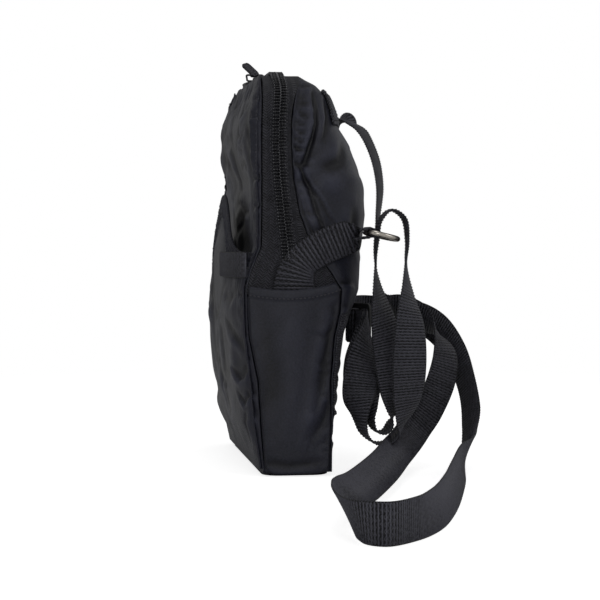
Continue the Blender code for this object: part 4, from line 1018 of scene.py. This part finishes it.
FRONT = (0, -1, 0)
BACK = (0, 1, 0)
FRONT_FOLDS = (
    (0.8, 1.3, (8.6, 226), (8.2, 160), (8.4, 84)),
    (0.8, 5.0, (15, 214), (13, 170), (14, 110)),
    (-0.8, 5.5, (25, 205), (22, 165), (23, 120)),
    (1.2, 1.6, (24, 176), (34, 181), (52, 178)),
    (1.3, 1.7, (20, 214), (30, 208), (44, 211)),
    (1.4, 1.6, (22, 198), (32, 193), (46, 198)),
    (1.0, 1.3, (24, 190), (34, 187), (44, 190)),
    (1.1, 1.5, (22, 158), (34, 151), (60, 152)),
    (1.3, 3.0, (30, 218), (42, 200), (58, 190)),
)
BACK_FOLDS = (
    (3.0, 1.5, (10, 220), (13.5, 210), (14.5, 202), (12, 193), (8.5, 184), (5, 175)),
    (-1.5, 0.9, (0.5, 183), (5.5, 177), (10, 167), (15.5, 157), (20.5, 144)),
    (-1.0, 0.7, (0.5, 171), (2.5, 153), (5.5, 136)),
    (1.6, 1.6, (3, 180), (7.5, 165), (10, 148), (10, 136)),
    (1.5, 1.4, (1, 212), (6, 206), (12, 205)),
    (1.2, 0.9, (1, 199), (5, 196), (9, 197)),
    (1.1, 0.9, (1, 193.5), (5, 191), (8, 192)),
    (1.3, 0.9, (1, 188), (4.5, 185.5), (7, 187)),
    (1.2, 0.9, (1, 204.5), (5, 201.5), (10, 202)),
    (1.4, 2.0, (22, 214), (24, 204), (19, 192)),
    (1.8, 3.2, (36, 190), (30, 180), (18, 176)),
    # The wide outward stroke below is a soft bulge with a painted highlight on it.
    (-1.3, 6.0, (28, 172), (22, 168), (16, 172)),
    (1.6, 3.0, (36, 152), (30, 140), (18, 134)),
    (1.3, 2.4, (40, 206), (52, 196), (70, 198)),
    (1.6, 3.2, (34, 120), (26, 108), (22, 92)),
    (1.2, 2.4, (18, 84), (22, 62), (16, 40)),
)


def mouth_z(share):
    """Height of the front pocket's slack mouth."""
    return 128 + 35 * np.maximum(1 - share * share, 0) ** 3.4


smooth_front = settle(face_grid(front_y), 0.01, 2.2, FRONT)
front_grid, front_fold_shade = fold_grid(smooth_front, FRONT, face_folds(smooth_front, 11, FRONT_FOLDS, (8, 38), 48))
smooth_back = settle(face_grid(back_y), 0.012, 3.2, BACK)
back_grid, back_fold_shade = fold_grid(smooth_back, BACK, face_folds(smooth_back, 31, BACK_FOLDS, (-6, 38), 40))
share_front = np.abs(front_grid[:, :, 0]) / half_width(front_grid[:, :, 2])
# Shade is painted on the front cloth below the front pocket's mouth, where the pocket covers it.
shade_below_mouth = np.clip((mouth_z(share_front) + 2 - front_grid[:, :, 2]) / 8, 0, 1)
front_fold_shade -= shade_below_mouth * np.clip((0.97 - share_front) / 0.03, 0, 1)
cloth_front = nylon_piece("cloth_front", front_grid, FRONT, front_fold_shade, "front_panel")
cloth_back = nylon_piece("cloth_back", back_grid, BACK, back_fold_shade, "back_panel")
print("faces of cloth:", len(cloth_front.data.polygons), len(cloth_back.data.polygons))

# %% [markdown]
# ## Seam folds and bindings
#
# Beside each end seam the cloth is folded under itself and sewn down, which leaves a flat raised strip
# with a row of stitches near each edge. Lower down, the back seam is bound with webbing. Both are
# bands that follow a line on the finished cloth, with their width laid on its surface.


# %% Seam strips
def on_cloth_band(name, grid, facing, distance, last, low, high, width, thick, finish, sink=0.25):
    """A strip that follows an end seam on the cloth, between two heights."""
    line, out = inset_line(grid, facing, distance, last)
    keep = (line[:, 2] >= low) & (line[:, 2] <= high)
    line, out = line[keep], out[keep]
    along = np.gradient(line, axis=0)
    rows, _ = even_line(np.hstack([line + out * (thick / 2 - sink), np.cross(out, along)]), 1.6)
    return band_piece(name, rows, width, thick, finish)


SEAM_STRIPS = (
    ("seam_fold_front_", front_grid, FRONT, 4.4, 112, 229, 5.4, 1.3, NYLON, "black_nylon"),
    ("binding_", back_grid, BACK, 3.0, 34, 94, 4.8, 1.1, WEBBING, "black_webbing"),
)
for name, grid, facing, distance, *sizes, slot in SEAM_STRIPS:
    for end, last in (("near", True), ("far", False)):
        place_piece(on_cloth_band(name + end, grid, facing, distance, last, *sizes), "bag", slot)
for last in (True, False):
    for distance in (2.6, 6.2):
        line, out = inset_line(front_grid, FRONT, distance, last)
        keep = (line[:, 2] > 114) & (line[:, 2] < 227)
        sew("bag_seams", line[keep], out[keep], 2.2, 0.95)
print("seam strips:", 2 * len(SEAM_STRIPS))

# %% [markdown]
# ## End strips, base and lining
#
# The strip between the two faces runs up the near end to the foot of the zip, and up the far end and over
# to where the zip stops. The base is a stiffer flat piece with rounded corners. Inside hangs a thin
# lining: rings of points, one above the other, closed at the bottom.


# %% End strips
def strip_grid(lengths, low_edge, high_edge, side, lift=0.0, columns=18):
    """A strip of cloth along the rim between two edges given by height."""
    grid = []
    for length in lengths:
        height = min(length, TOP)
        x, z = rim_place(length, lift, side)
        grid.append([(x, y, z) for y in np.linspace(low_edge(height), high_edge(height), columns)])
    return np.array(grid)


def front_edge(z):
    return -by_height(z, FRONT_SEAM) + 0.7


def back_edge(z):
    return by_height(z, BACK_SEAM) - 0.7


def end_strip(end, lengths, side, seed):
    """One end strip, lightly creased."""
    facing = (side, 0, 0)
    grid = strip_grid(lengths, front_edge, back_edge, side)
    across = grid[:, :, 1]
    along = np.repeat(lengths[:, None], grid.shape[1], 1)
    strokes = loose_strokes(seed, 26, (-18, 14), (8, lengths[-1]), (0.25, 0.8), (1.2, 2.6), (8, 26), (10, 40))
    edge = np.minimum(across - across[:, :1], across[:, -1:] - across)
    field = press_folds(across, along, strokes) * np.clip(edge / 2, 0, 1)
    grid, fold = fold_grid(grid, facing, np.minimum(field, 0.25))
    nylon_piece("end_cloth_" + end, grid, facing, fold, "gusset_" + end)


end_strip("near", np.linspace(2.3, 104.5, 60), 1, 51)
end_strip("far", np.linspace(2.3, 252.8, 150), -1, 52)


# %% Base and lining
base = plate("base_cloth", (round_corners(81.0, 19.4, 9.8),), 2.0, 0.7, NYLON, (0, -0.9, 1.0))
flat_map(base.data, mesh_points(base.data)[:, :2])
place_piece(base, "bag", "black_nylon", "base_panel")


def lining_piece():
    """The inner bag, from the middle of its bottom out and up to its open top."""
    around = 2 * np.pi * np.linspace(0, 1, 73)
    levels = [(4.0, s) for s in (0.02, 0.3, 0.6, 0.9)] + [(4.2 + 2 * k, 1.0) for k in range(3)]
    levels += [(z, 1.0) for z in np.linspace(12, 204, 50)]
    grid = []
    for z, scale in levels:
        cos = np.sign(np.cos(around)) * np.abs(np.cos(around)) ** 0.35
        sin = np.sign(np.sin(around)) * np.abs(np.sin(around)) ** 0.6
        share = np.minimum(np.abs(cos), 1)
        front = front_y(share, z) + 2.6
        back = back_y(share, z) - 2.6
        middle = (front + back) / 2
        ripple = 0.5 * np.sin(9 * around + z * 0.06) * np.clip(z / 40, 0, 1)
        x = (half_width(z) - 2.6) * cos * scale
        y = middle.mean() * (1 - scale) + scale * (middle + ((back - front) / 2 - 0.6 + ripple * 0.4) * sin)
        grid.append(np.stack([x, y, np.full_like(x, z)], -1))
    grid = np.array(grid)
    piece = cloth_piece("inner_lining", grid, LINING_CLOTH, (0, 0, 1), thick=0.5)
    mend(piece.data, 0.00002, 0.006)
    return piece


place_piece(lining_piece(), "bag", "lining_cloth", "lining")
print("base and lining made")

# %% [markdown]
# ## The zip's tapes
#
# The zip starts above the side pocket, runs up the near end, round the corner and along the top. Each of
# its two tapes is a narrow strip woven in a fine zigzag, with a row of stitches beside the coil. The
# tapes spread at their foot and wander a little from side to side, as a soft zip does.

# %% Zip tapes
def zip_y(z):
    return by_height(z, ZIP_LINE)


ZIP_FOOT = 103.0
UPWARD = (1, 0, 1)


def zip_tape(end, low_edge, high_edge, seed, inner):
    """One tape, with a row of stitches beside the coil at its inner edge."""
    lengths = np.arange(ZIP_FOOT, ZIP_END + 0.1, 1.6)
    lengths[-1] = ZIP_END
    grid = strip_grid(lengths, low_edge, high_edge, 1, 0.0, 14)
    across = grid[:, :, 1] - zip_y(np.minimum(lengths, TOP))[:, None]
    along = np.repeat(lengths[:, None], 14, 1)
    strokes = loose_strokes(seed, 60, (-12, 12), (108, ZIP_END), (0.1, 0.35), (1.2, 2.4), (6, 14), (5, 25))
    grid, fold = fold_grid(grid, UPWARD, np.clip(press_folds(across, along, strokes), -0.5, 0.2))
    piece = cloth_piece("zip_tape_cloth_" + end, grid, TAPE, UPWARD, fold, 0.8)
    place_piece(piece, "bag", "black_zip", "zip_tape_" + end)
    sew("zip_seams", *inset_line(grid, UPWARD, 4.4, inner), 2.4)


zip_tape("front", front_edge, lambda z: zip_y(z) - 0.15, 61, True)
zip_tape("back", lambda z: zip_y(z) + 0.15, back_edge, 62, False)
print("tapes made")

# %% [markdown]
# ## The zip's coils
#
# A coil zip's two rows are nylon wire wound in loops, and each loop shows as a short bar with a round
# head that locks between two heads of the other row. One bar and two beads per tooth, laid by the tree
# above, give that look from any side; the beads are pale, as painted glints. The teeth start a little
# above the tapes' foot.


# %% Zip coils
COIL_FOOT = 124.0
COIL_SIZE = (3.0, 0.95, 1.7)
HEAD_SIZE = (0.85, 0.75, 2.0)


def zip_coil(end, towards, shift, pitch=1.9, lift=1.45):
    """One row: a bar for each loop of wire, and a bead for the bar's head and for its turn, pale as a painted glint.
    """
    reach = COIL_SIZE[0]
    bars, heads, ups, sides = [], [], [], []
    for length in np.arange(COIL_FOOT + shift * pitch / 2, ZIP_END - 3.5, pitch):
        x, z = rim_place(length, lift)
        y = float(zip_y(min(length, TOP)))
        x_up, z_up = rim_place(length, lift + 1.0)
        ups.append((x_up - x, 0, z_up - z))
        sides.append((0, 1, 0))
        bars.append((x, y + towards * (0.5 + reach / 2), z))
        heads += [(x, y + towards * 0.25, z), (x, y + towards * (reach + 0.4), z)]
    name = "zip_coil_" + end
    bar = repeat(name, "bar", bars, sides, ups, COIL_SIZE, COIL)
    # The beads take the pale finish of painted glints.
    beads = repeat(name + "_heads", "bead", heads, sides * 2, np.repeat(ups, 2, axis=0), HEAD_SIZE, GLINT)
    place_piece(beads, "bag", "black_zip")
    place_piece(bar, "bag", "black_zip", "zip_teeth_" + end)


zip_coil("front", -1, 0)
zip_coil("back", 1, 1)
print("coils made")

# %% [markdown]
# ## Slider, link and pull tab
#
# The slider is a cast metal body: a roof with rounded edges, two walls beside the coils, and an arch on
# top. A bent wire link hangs in the arch, and a folded tab of webbing is sewn round the link. The link
# and the tab tip over together, so they are shaped upright and then turned about the link's lower bar.


# %% Slider
def wire_piece(name, points, radius, finish):
    """A closed ring of round wire along points in millimetres, as a plain mesh."""
    mesh = curve_mesh(name, "3D", [points], radius, (1,), finish, bevel_resolution=4)
    mesh.shade_smooth()
    return add_object(name, mesh)


def slider_outline(inner=None, side=1):
    """The slider seen from above, or only one of its walls."""
    front, rear, waist, y = -48.5, -31.5, -42.1, -10.0
    if inner is None:
        half = [(front, 6.2), (front + 1.5, 7.7), (waist, 7.7), (rear - 1.5, 6.6), (rear, 5.2)]
        return [(a, y + b) for a, b in half] + [(a, y - b) for a, b in reversed(half)]
    outer = [(front + 0.4, 6.2), (front + 1.7, 7.5), (waist, 7.5), (rear - 1.6, 6.4), (rear - 0.4, 5.6)]
    wall = [(front + 0.4, inner), *outer, (rear - 0.4, inner)]
    return [(a, y + side * b) for a, b in wall]


slider = plate("slider_roof", (slider_outline(),), 1.5, 0.5, DARK_METAL, (0, 0, 234.75))
walls = [plate("wall", (slider_outline(5.0, s),), 3.0, 0.25, DARK_METAL, (0, 0, 232.85)) for s in (-1, 1)]
arch_line = [(-44.0, 235.0), (-43.8, 236.6), (-42.9, 237.9), (-41.5, 238.4)]
arch_line += [(-38.5, 238.4), (-37.1, 237.9), (-36.2, 236.6), (-36, 235.0)]
arch_rows, _ = even_line(smooth_line([(a, -10.0, b, 0, 1, 0) for a, b in arch_line], 6), 0.5)
arch = band_piece("arch", arch_rows, 3.3, 1.0, DARK_METAL)
place_piece(join_pieces(slider, *walls, arch), "slider", "silver_metal", "zip_slider")


# %% Link and tab
AXIS_X, AXIS_Z, TIP = -40.0, 236.75, math.radians(-50)


def tipped(points):
    """Turn points of the puller about its lower bar, towards the zip's closed end."""
    points = np.array(points, float)
    x, z = points[:, 0] - AXIS_X, points[:, 2] - AXIS_Z
    turned = points.copy()
    turned[:, 0] = AXIS_X + x * math.cos(TIP) + z * math.sin(TIP)
    turned[:, 2] = AXIS_Z + z * math.cos(TIP) - x * math.sin(TIP)
    return turned


link_points = [(AXIS_X, -10 + a, AXIS_Z + 3.35 + b) for a, b in round_corners(5.35, 3.35, 1.2, steps=6)]
place_piece(wire_piece("puller_link", tipped(link_points), 0.65, DARK_METAL), "puller", "silver_metal", "zip_puller")


def pull_tab():
    """A strip folded round the link's upper bar, its two layers sewn together, leaning to the front."""
    bar = AXIS_Z + 6.7
    inner = 1.15
    half = [(0.48, bar + v) for v in (12.0, 10, 8, 6, 4, 2.6, 1.7)]
    angles = np.linspace(math.radians(125), math.radians(-125), 15)
    turn = [(inner * math.sin(a), bar - inner * math.cos(a)) for a in angles]
    other = [(-a, b) for a, b in reversed(half)]
    rows = []
    for a, b in half + turn + other:
        slant = max(b - bar - 1.75, 0.0) * math.tan(math.radians(28))
        rows.append((AXIS_X + a, -10 - slant, b, 0, 1, 0))
    rows, _ = even_line(smooth_line(rows, 4), 0.4)
    from_tip = np.minimum(np.arange(len(rows)), np.arange(len(rows))[::-1]) * 0.4
    width = 5.4 * np.sqrt(np.clip(0.55 + from_tip / 4.0, 0, 1))
    return band_piece("pull_tab_webbing", np.hstack([tipped(rows[:, :3]), rows[:, 3:]]), width, 0.8, WEBBING)


place_piece(pull_tab(), "puller", "black_webbing", "zip_pull_tab")
print("slider, link and tab made")

# %% [markdown]
# ## The zip's end and the webbing patch
#
# A scrap of cloth covers the end of the zip on the far corner, and a short piece of webbing is sewn to
# the back near its top. Both are small sheets with a row of stitches round them.


# %% Small sheets
def small_sheet(name, grid, facing, finish, thick, node, slot, group):
    """A small sheet of cloth with a row of stitches along each of its four edges."""
    place_piece(cloth_piece(name, grid, finish, facing, thick=thick), "bag", slot, node)
    for last in (True, False):
        for way in (grid, np.swapaxes(grid, 0, 1)):
            sew(group, *inset_line(way, facing, 1.1, last), 2.2)


cover_lengths = np.linspace(243.8, 252.8, 20)
cover = strip_grid(cover_lengths, lambda z: -19.3, lambda z: -0.7, -1, 1.3, 30)
rise = 0.35 * np.sin(np.linspace(0, math.pi, 30)) ** 0.5
cover[:, :, 2] += rise - 0.2
small_sheet("zip_end_cloth", cover, (0, 0, 1), NYLON, 1.0, "zip_end_cover", "black_nylon", "zip_seams")


def patch_grid():
    """A piece of webbing lying on the finished back cloth near its top."""
    normal = grid_normals(back_grid, BACK)
    rows = [int(np.abs(back_grid[:, 60, 2] - z).argmin()) for z in np.linspace(203.3, 220.3, 24)]
    grid = []
    for row in rows:
        share = back_grid[row, :, 0] / half_width(back_grid[row, 0, 2])
        grid.append(read_along(np.linspace(0.60, 0.86, 24), share, back_grid[row] + normal[row] * 2.0))
    return np.array(grid)


small_sheet("back_webbing_patch", patch_grid(), BACK, WEBBING, 1.6, "back_edge_patch", "black_webbing", "bag_seams")
print("small sheets made")

# %% [markdown]
# ## Side pockets
#
# On each end sits a flat open pocket, sewn into the side seams. Its top edge is turned over into a hem
# with a row of stitches, and it sags a little in the middle. Creases run down from its seams.

# %% Side pockets
POCKET_FOLDS = (
    (1.1, 2.6, (21, 96), (17, 76), (13, 58), (9, 38)),
    (0.7, 2.2, (18, 64), (14, 50), (9, 36)),
    (0.5, 1.8, (20, 84), (14, 80), (9, 82)),
    (0.35, 4.5, (-22, 98), (-17, 70), (-14, 40)),
    (-0.5, 8.0, (-6, 96), (-3, 60), (-2, 24)),
    (0.9, 2.6, (-24, 9), (-6, 6), (12, 8)),
    (0.9, 3.0, (21, 50), (15, 34), (8, 22)),
    (-0.6, 4.0, (20, 60), (12, 44), (4, 30)),
)


def side_pocket(end, side, seed):
    """A pocket on an end: its top edge sags, and its hem stands a little proud."""
    facing = (side, 0, 0)
    grid = []
    across = np.linspace(-1, 1, 56)
    for level in np.linspace(0, 1, 84):
        row = []
        for t in across:
            top = 110.2 - 3.2 * (1 - t * t) + 1.0 * t
            base = 1.6 + 4.5 * abs(t) ** 9
            z = base + (top - base) * level
            low, high = -by_height(z, FRONT_SEAM) + 1.2, by_height(z, BACK_SEAM) - 1.2
            y = (low + high) / 2 + (high - low) / 2 * t * (1 - 0.06 * math.exp(-z / 4.0))
            from_top = top - z
            hem = 0.55 / (1 + math.exp((from_top - 6.2) * 3.0))
            roll = 0.5 * max(0.0, 1 - from_top / 0.8) ** 2
            groove = 0.35 * math.exp(-(((from_top - 6.6) / 0.6) ** 2))
            bulge = 4.0 * (1 - t * t) * min(z / 104, 1) - 1.4 * math.exp(-z / 2.5)
            row.append((side * (86.5 + bulge + hem - roll - groove), y, z))
        grid.append(row)
    grid = np.array(grid)
    areas = (
        (8, (-20, 16), (12, 92), (0.1, 0.3), (2.5, 5.0), (20, 44), (60, 30)),
        (12, (-27, -22), (8, 100), (0.1, 0.3), (1.0, 1.6), (4, 8), (0, 15)),
        (22, (14, 22), (8, 104), (0.2, 0.6), (1.0, 1.8), (5, 10), (0, 15)),
    )
    strokes = list(POCKET_FOLDS if side > 0 else ()) + scatter(seed, areas)
    field = press_folds(grid[:, :, 1], grid[:, :, 2], strokes)
    calm = np.clip((108 - grid[:, :, 2]) / 10, 0.15, 1) * np.clip((1.02 - np.abs(across))[None, :] * 10, 0, 1)
    grid, fold = fold_grid(grid, facing, np.clip(field * calm, -0.9, 1.2))
    # Shade is painted along the pocket's two side seams.
    fold -= 0.25 * np.exp(-(((np.abs(across)[None, :] - 1) / 0.04) ** 2))
    nylon_piece("end_pocket_" + end, grid, facing, fold, "side_pocket_" + end)
    sew("pocket_seams", *inset_line(np.swapaxes(grid, 0, 1), facing, 5.2, True), 2.4)


side_pocket("near", 1, 71)
side_pocket("far", -1, 75)
print("side pockets made")

# %% [markdown]
# ## The front pocket
#
# The big front pocket is a slack flat piece whose mouth is drawn in by a gathered band, so it gapes. Its
# sides lie in folds where they meet the end seams. The band is ruffled: close upright pleats, deeper at
# its lower edge. A strip of ribbed tape is sewn over it at each end.

# %% Front pocket
REACH = 0.985


def pocket_y(share, z):
    """The outer face of the front pocket, well clear of the cloth behind it."""
    room = by_height(z, POCKET_MIDDLE) - by_height(z, FRONT_MIDDLE) - 2.1
    swell = np.maximum(room, 0) * (1 - np.minimum(np.abs(share / REACH), 1) ** 4)
    return front_y(share, z) - 2.1 + 0.9 * np.abs(share / REACH) ** 16 - swell


def pocket_grid(low, high, rows, columns):
    """A part of the pocket between two edges, and how far across each of its points lies."""
    share = REACH * np.sin(np.pi / 2 * np.linspace(-1, 1, 900))
    grid = []
    for level in np.linspace(0, 1, rows):
        z = low(share) + (high(share) - low(share)) * level
        grid.append(np.stack([half_width(z) * share, pocket_y(share, z), z, share], -1))
    grid = even_rows(np.array(grid), columns)
    return grid[:, :, :3], grid[:, :, 3]


FRONT_POCKET_FOLDS = (
    (1.6, 2.4, (1, 73), (14, 81), (30, 88)),
    (2.2, 1.8, (1, 63), (6, 58), (11, 56.5), (20, 61)),
    (1.5, 1.4, (1, 47), (8, 42), (16, 47)),
    (-0.8, 7.0, (22, 76), (20, 66), (24, 52)),
    (0.9, 2.0, (6, 40), (10, 30), (9, 18)),
    (0.8, 3.0, (8, 108), (22, 100), (40, 104)),
    (1.2, 3.2, (30, 60), (60, 50), (90, 58)),
    (1.2, 3.0, (40, 110), (70, 92), (100, 88)),
)
SACK_FOOT = 4.5
SACK_DROP = 13.3
BAND_DROP = 13.0
sack, sack_share = pocket_grid(lambda s: SACK_FOOT + 0 * s, lambda s: mouth_z(s) - SACK_DROP, 84, 116)
sack = settle(sack, 0.01, 2.6, FRONT)
sack_reach = distances(sack[:, ::-1], 1)[:, ::-1]
sack_wide = float(sack_reach.max())
sack_areas = (
    (22, (46, sack_wide - 12), (18, 124), (0.5, 1.4), (3.0, 6.0), (26, 70), (15, 45)),
    (14, (1, 5), (14, 112), (0.2, 0.5), (1.2, 2.0), (5, 10), (5, 14)),
    (20, (sack_wide - 7, sack_wide - 1), (14, 112), (0.4, 1.0), (1.3, 2.2), (6, 13), (5, 14)),
)
sack_field = press_folds(sack_reach, sack[:, :, 2], list(FRONT_POCKET_FOLDS) + scatter(81, sack_areas))
from_mouth = np.maximum(mouth_z(sack_share) - SACK_DROP - sack[:, :, 2], 0)
gather = 0.55 * np.sin(sack_reach * 1.9 + 1.3 * np.sin(sack_reach * 0.35)) * np.exp(-from_mouth / 9)
sack_edge = np.minimum(np.minimum(sack_reach, sack_wide - sack_reach), sack[:, :, 2] - SACK_FOOT)
sack_field *= np.clip(sack_edge / 2.5, 0, 1)
sack, sack_fold_shade = fold_grid(sack, FRONT, np.maximum(sack_field, -0.9) + gather)
nylon_piece("front_pocket_cloth", sack, FRONT, sack_fold_shade, "front_pocket")

band_grid, _ = pocket_grid(lambda s: mouth_z(s) - BAND_DROP, mouth_z, 26, 360)
band_grid[:, :, 1] -= 0.4
band_reach = distances(band_grid, 1)
level = np.linspace(0, 1, 26)[:, None]
ruffle = np.sin(band_reach * 2.1 + 1.6 * np.sin(band_reach * 0.31)) * (0.75 - 0.35 * level)
lines = -0.35 * sum(np.exp(-(((level - at) / 0.05) ** 2)) for at in (0.12, 0.38, 0.64, 0.9))
calm = np.clip(np.minimum(band_reach, band_reach[:, -1:] - band_reach) / 5, 0.2, 1)
band_grid, band_fold_shade = fold_grid(band_grid, FRONT, ruffle * calm * 0.8 + lines)
# The band's pleats get a stronger painted shade and highlight.
band_cloth = cloth_piece("front_pocket_gathered_band", band_grid, NYLON, FRONT, band_fold_shade * 1.3)
place_piece(band_cloth, "bag", "black_webbing", "front_pocket_band")
for distance in (1.4, 11.0):
    sew("pocket_seams", *inset_line(np.swapaxes(band_grid, 0, 1), FRONT, distance, True), 2.6)


def rib_tape(end, side, start, ease):
    """Ribbed tape sewn upright over one end of the gathered band; its ribs can lie closer towards the seam."""
    share = np.sin(np.linspace(start, 1.37, 200))
    level = np.full_like(share, 121.0)
    line = np.stack([side * (half_width(level) * share + 0.5), pocket_y(share, level) - 1.9, level], 1)
    rows, _ = even_line(np.hstack([line, np.tile((0.0, 0.0, 1.0), (200, 1))]), 0.8)
    # The tape's core gets deep painted shade between its ribs.
    tape = ribbed_band("rib_tape_" + end, rows, 15.0, 0.9, 2.8, WEBBING, cover=0.42, core_shade=1.6, ease=ease)
    place_piece(tape, "bag", "black_webbing")


rib_tape("near", 1, 0.25, 1.4)
rib_tape("far", -1, 1.05, 1.0)
print("front pocket made")

# %% [markdown]
# ## Webbing loops and rings
#
# A length of ribbed webbing comes up out of the side pocket, crosses the end towards the back, turns a
# quarter, goes round the straight bar of a wire ring and is sewn back on itself with a small box of
# stitches. The ring is bent from round wire: a straight bar and a bow.


# %% Loops
BAR_X, BAR_Y, BAR_Z = 90.0, 39.2, 139.5
WEB_STEP = 0.7


def web_rows(side):
    """The webbing's line: up from the pocket, over the ring's bar, round it and back underneath."""
    base, foot_y, foot_z = 86.1, -4.0, 97.0
    out, run, rise = BAR_X - base, BAR_Y - foot_y, BAR_Z - foot_z
    shares = ((0, -0.1, 0, 0), (-0.01, 0.1, 0, 0), (-0.005, 0.26, 0, 0), (0.03, 0.44, 0.03, 0), (0.12, 0.60, 0.1, 0))
    shares += ((0.34, 0.765, 0.3, 0.0), (0.58, 0.88, 0.66, 0.0), (0.78, 0.955, 0.93, 0.22))
    rows = []
    for a, b, c, twist in shares:
        turn = math.pi / 2 * twist
        bend = math.radians(min(max((b - 0.3) / 0.35, 0.0), 1.0) * 62)
        steep = (math.sin(turn), -math.cos(bend) * math.cos(turn), math.sin(bend) * math.cos(turn))
        rows.append((base + out * c, foot_y + run * a, foot_z + rise * b, *steep))
    way = math.radians(15)
    t, n = np.array((math.cos(way), math.sin(way))), np.array((-math.sin(way), math.cos(way)))
    centre = np.array((BAR_Y, BAR_Z))
    radius = 2.45
    path = [centre + n * radius - t * 3.2]
    path += [centre + radius * (n * math.cos(a) + t * math.sin(a)) for a in np.linspace(0, math.pi, 9)]
    path += [centre - n * 2.3 - t * 3.0, centre - n * 1.7 - t * 6.0, centre - n * 1.7 - t * 10.0]
    rows += [(BAR_X, p[0], p[1], 1.0, 0.0, 0.0) for p in path]
    rows = np.array(rows)
    rows[:, 0] *= side
    rows[:, 3] *= side
    return even_line(smooth_line(rows, 8), WEB_STEP)[0]


def web_loop(end, side):
    """One loop with its box of stitches; it spreads towards its foot."""
    rows = web_rows(side)
    width = np.interp(np.arange(len(rows)) * WEB_STEP, (0, 14, 30), (27, 25, 20))
    rows[:, 1] += (width - 20) * 0.3
    piece = ribbed_band("web_loop_" + end, rows, width, 1.2, 2.3, WEBBING, cover=0.66)
    across, face = band_frames(rows)
    start, stop = int(len(rows) * 0.47), int(len(rows) * 0.63)
    face_out = face * np.sign(face[start] @ np.array((side, 0, 0.3)))
    for offset in (-7.5, 7.5):
        line = rows[start:stop, :3] + across[start:stop] * offset
        sew("web_seams", line, face_out[start:stop], 2.4, 0.95)
    for at in (start, stop):
        line = np.array([rows[at, :3] + across[at] * v for v in np.linspace(-7.5, 7.5, 12)])
        sew("web_seams", line, np.repeat(face_out[at][None], 12, 0), 2.4, 0.95)
    place_piece(piece, "bag", "black_webbing", "strap_anchor_" + end)


web_loop("near", 1)
web_loop("far", -1)


# %% Rings
def ring_wire(end, side):
    """A ring bent from round wire, hanging out and down from the loop."""
    half, depth, radius = 12.5, 17.0, 1.5
    tilt = math.radians(13)
    flat = [(-half + 3 + a, 0.0) for a in np.linspace(0, 2 * half - 6, 9)]
    for angle in np.linspace(0, math.pi, 44):
        reach = math.copysign(abs(math.cos(angle)) ** 0.75, math.cos(angle))
        flat.append((half * reach, radius + (depth - radius) * math.sin(angle) ** 0.75))
    points = [(side * BAR_X + a, BAR_Y + b * math.cos(tilt), BAR_Z - b * math.sin(tilt)) for a, b in flat]
    ring = wire_piece("ring_wire_" + end, points, radius, METAL)
    place_piece(ring, end + "_ring", "silver_metal", "ring_" + end)


ring_wire("near", 1)
ring_wire("far", -1)
print("loops and rings made")

# %% [markdown]
# ## All the stitches
#
# Every sewn line so far has been kept by its group. Each group now becomes one mesh of small beads of
# thread, half sunk in the cloth.

# %% Stitches
for group, (places, sides, ups) in stitch_places.items():
    places, sides, ups = (np.vstack(v) for v in (places, sides, ups))
    thread = repeat("stitches_" + group, "bead", places, sides, ups, (1.5, 0.75, 0.6), THREAD)
    place_piece(thread, "bag", "black_webbing")
    print(group, len(places), "stitches")
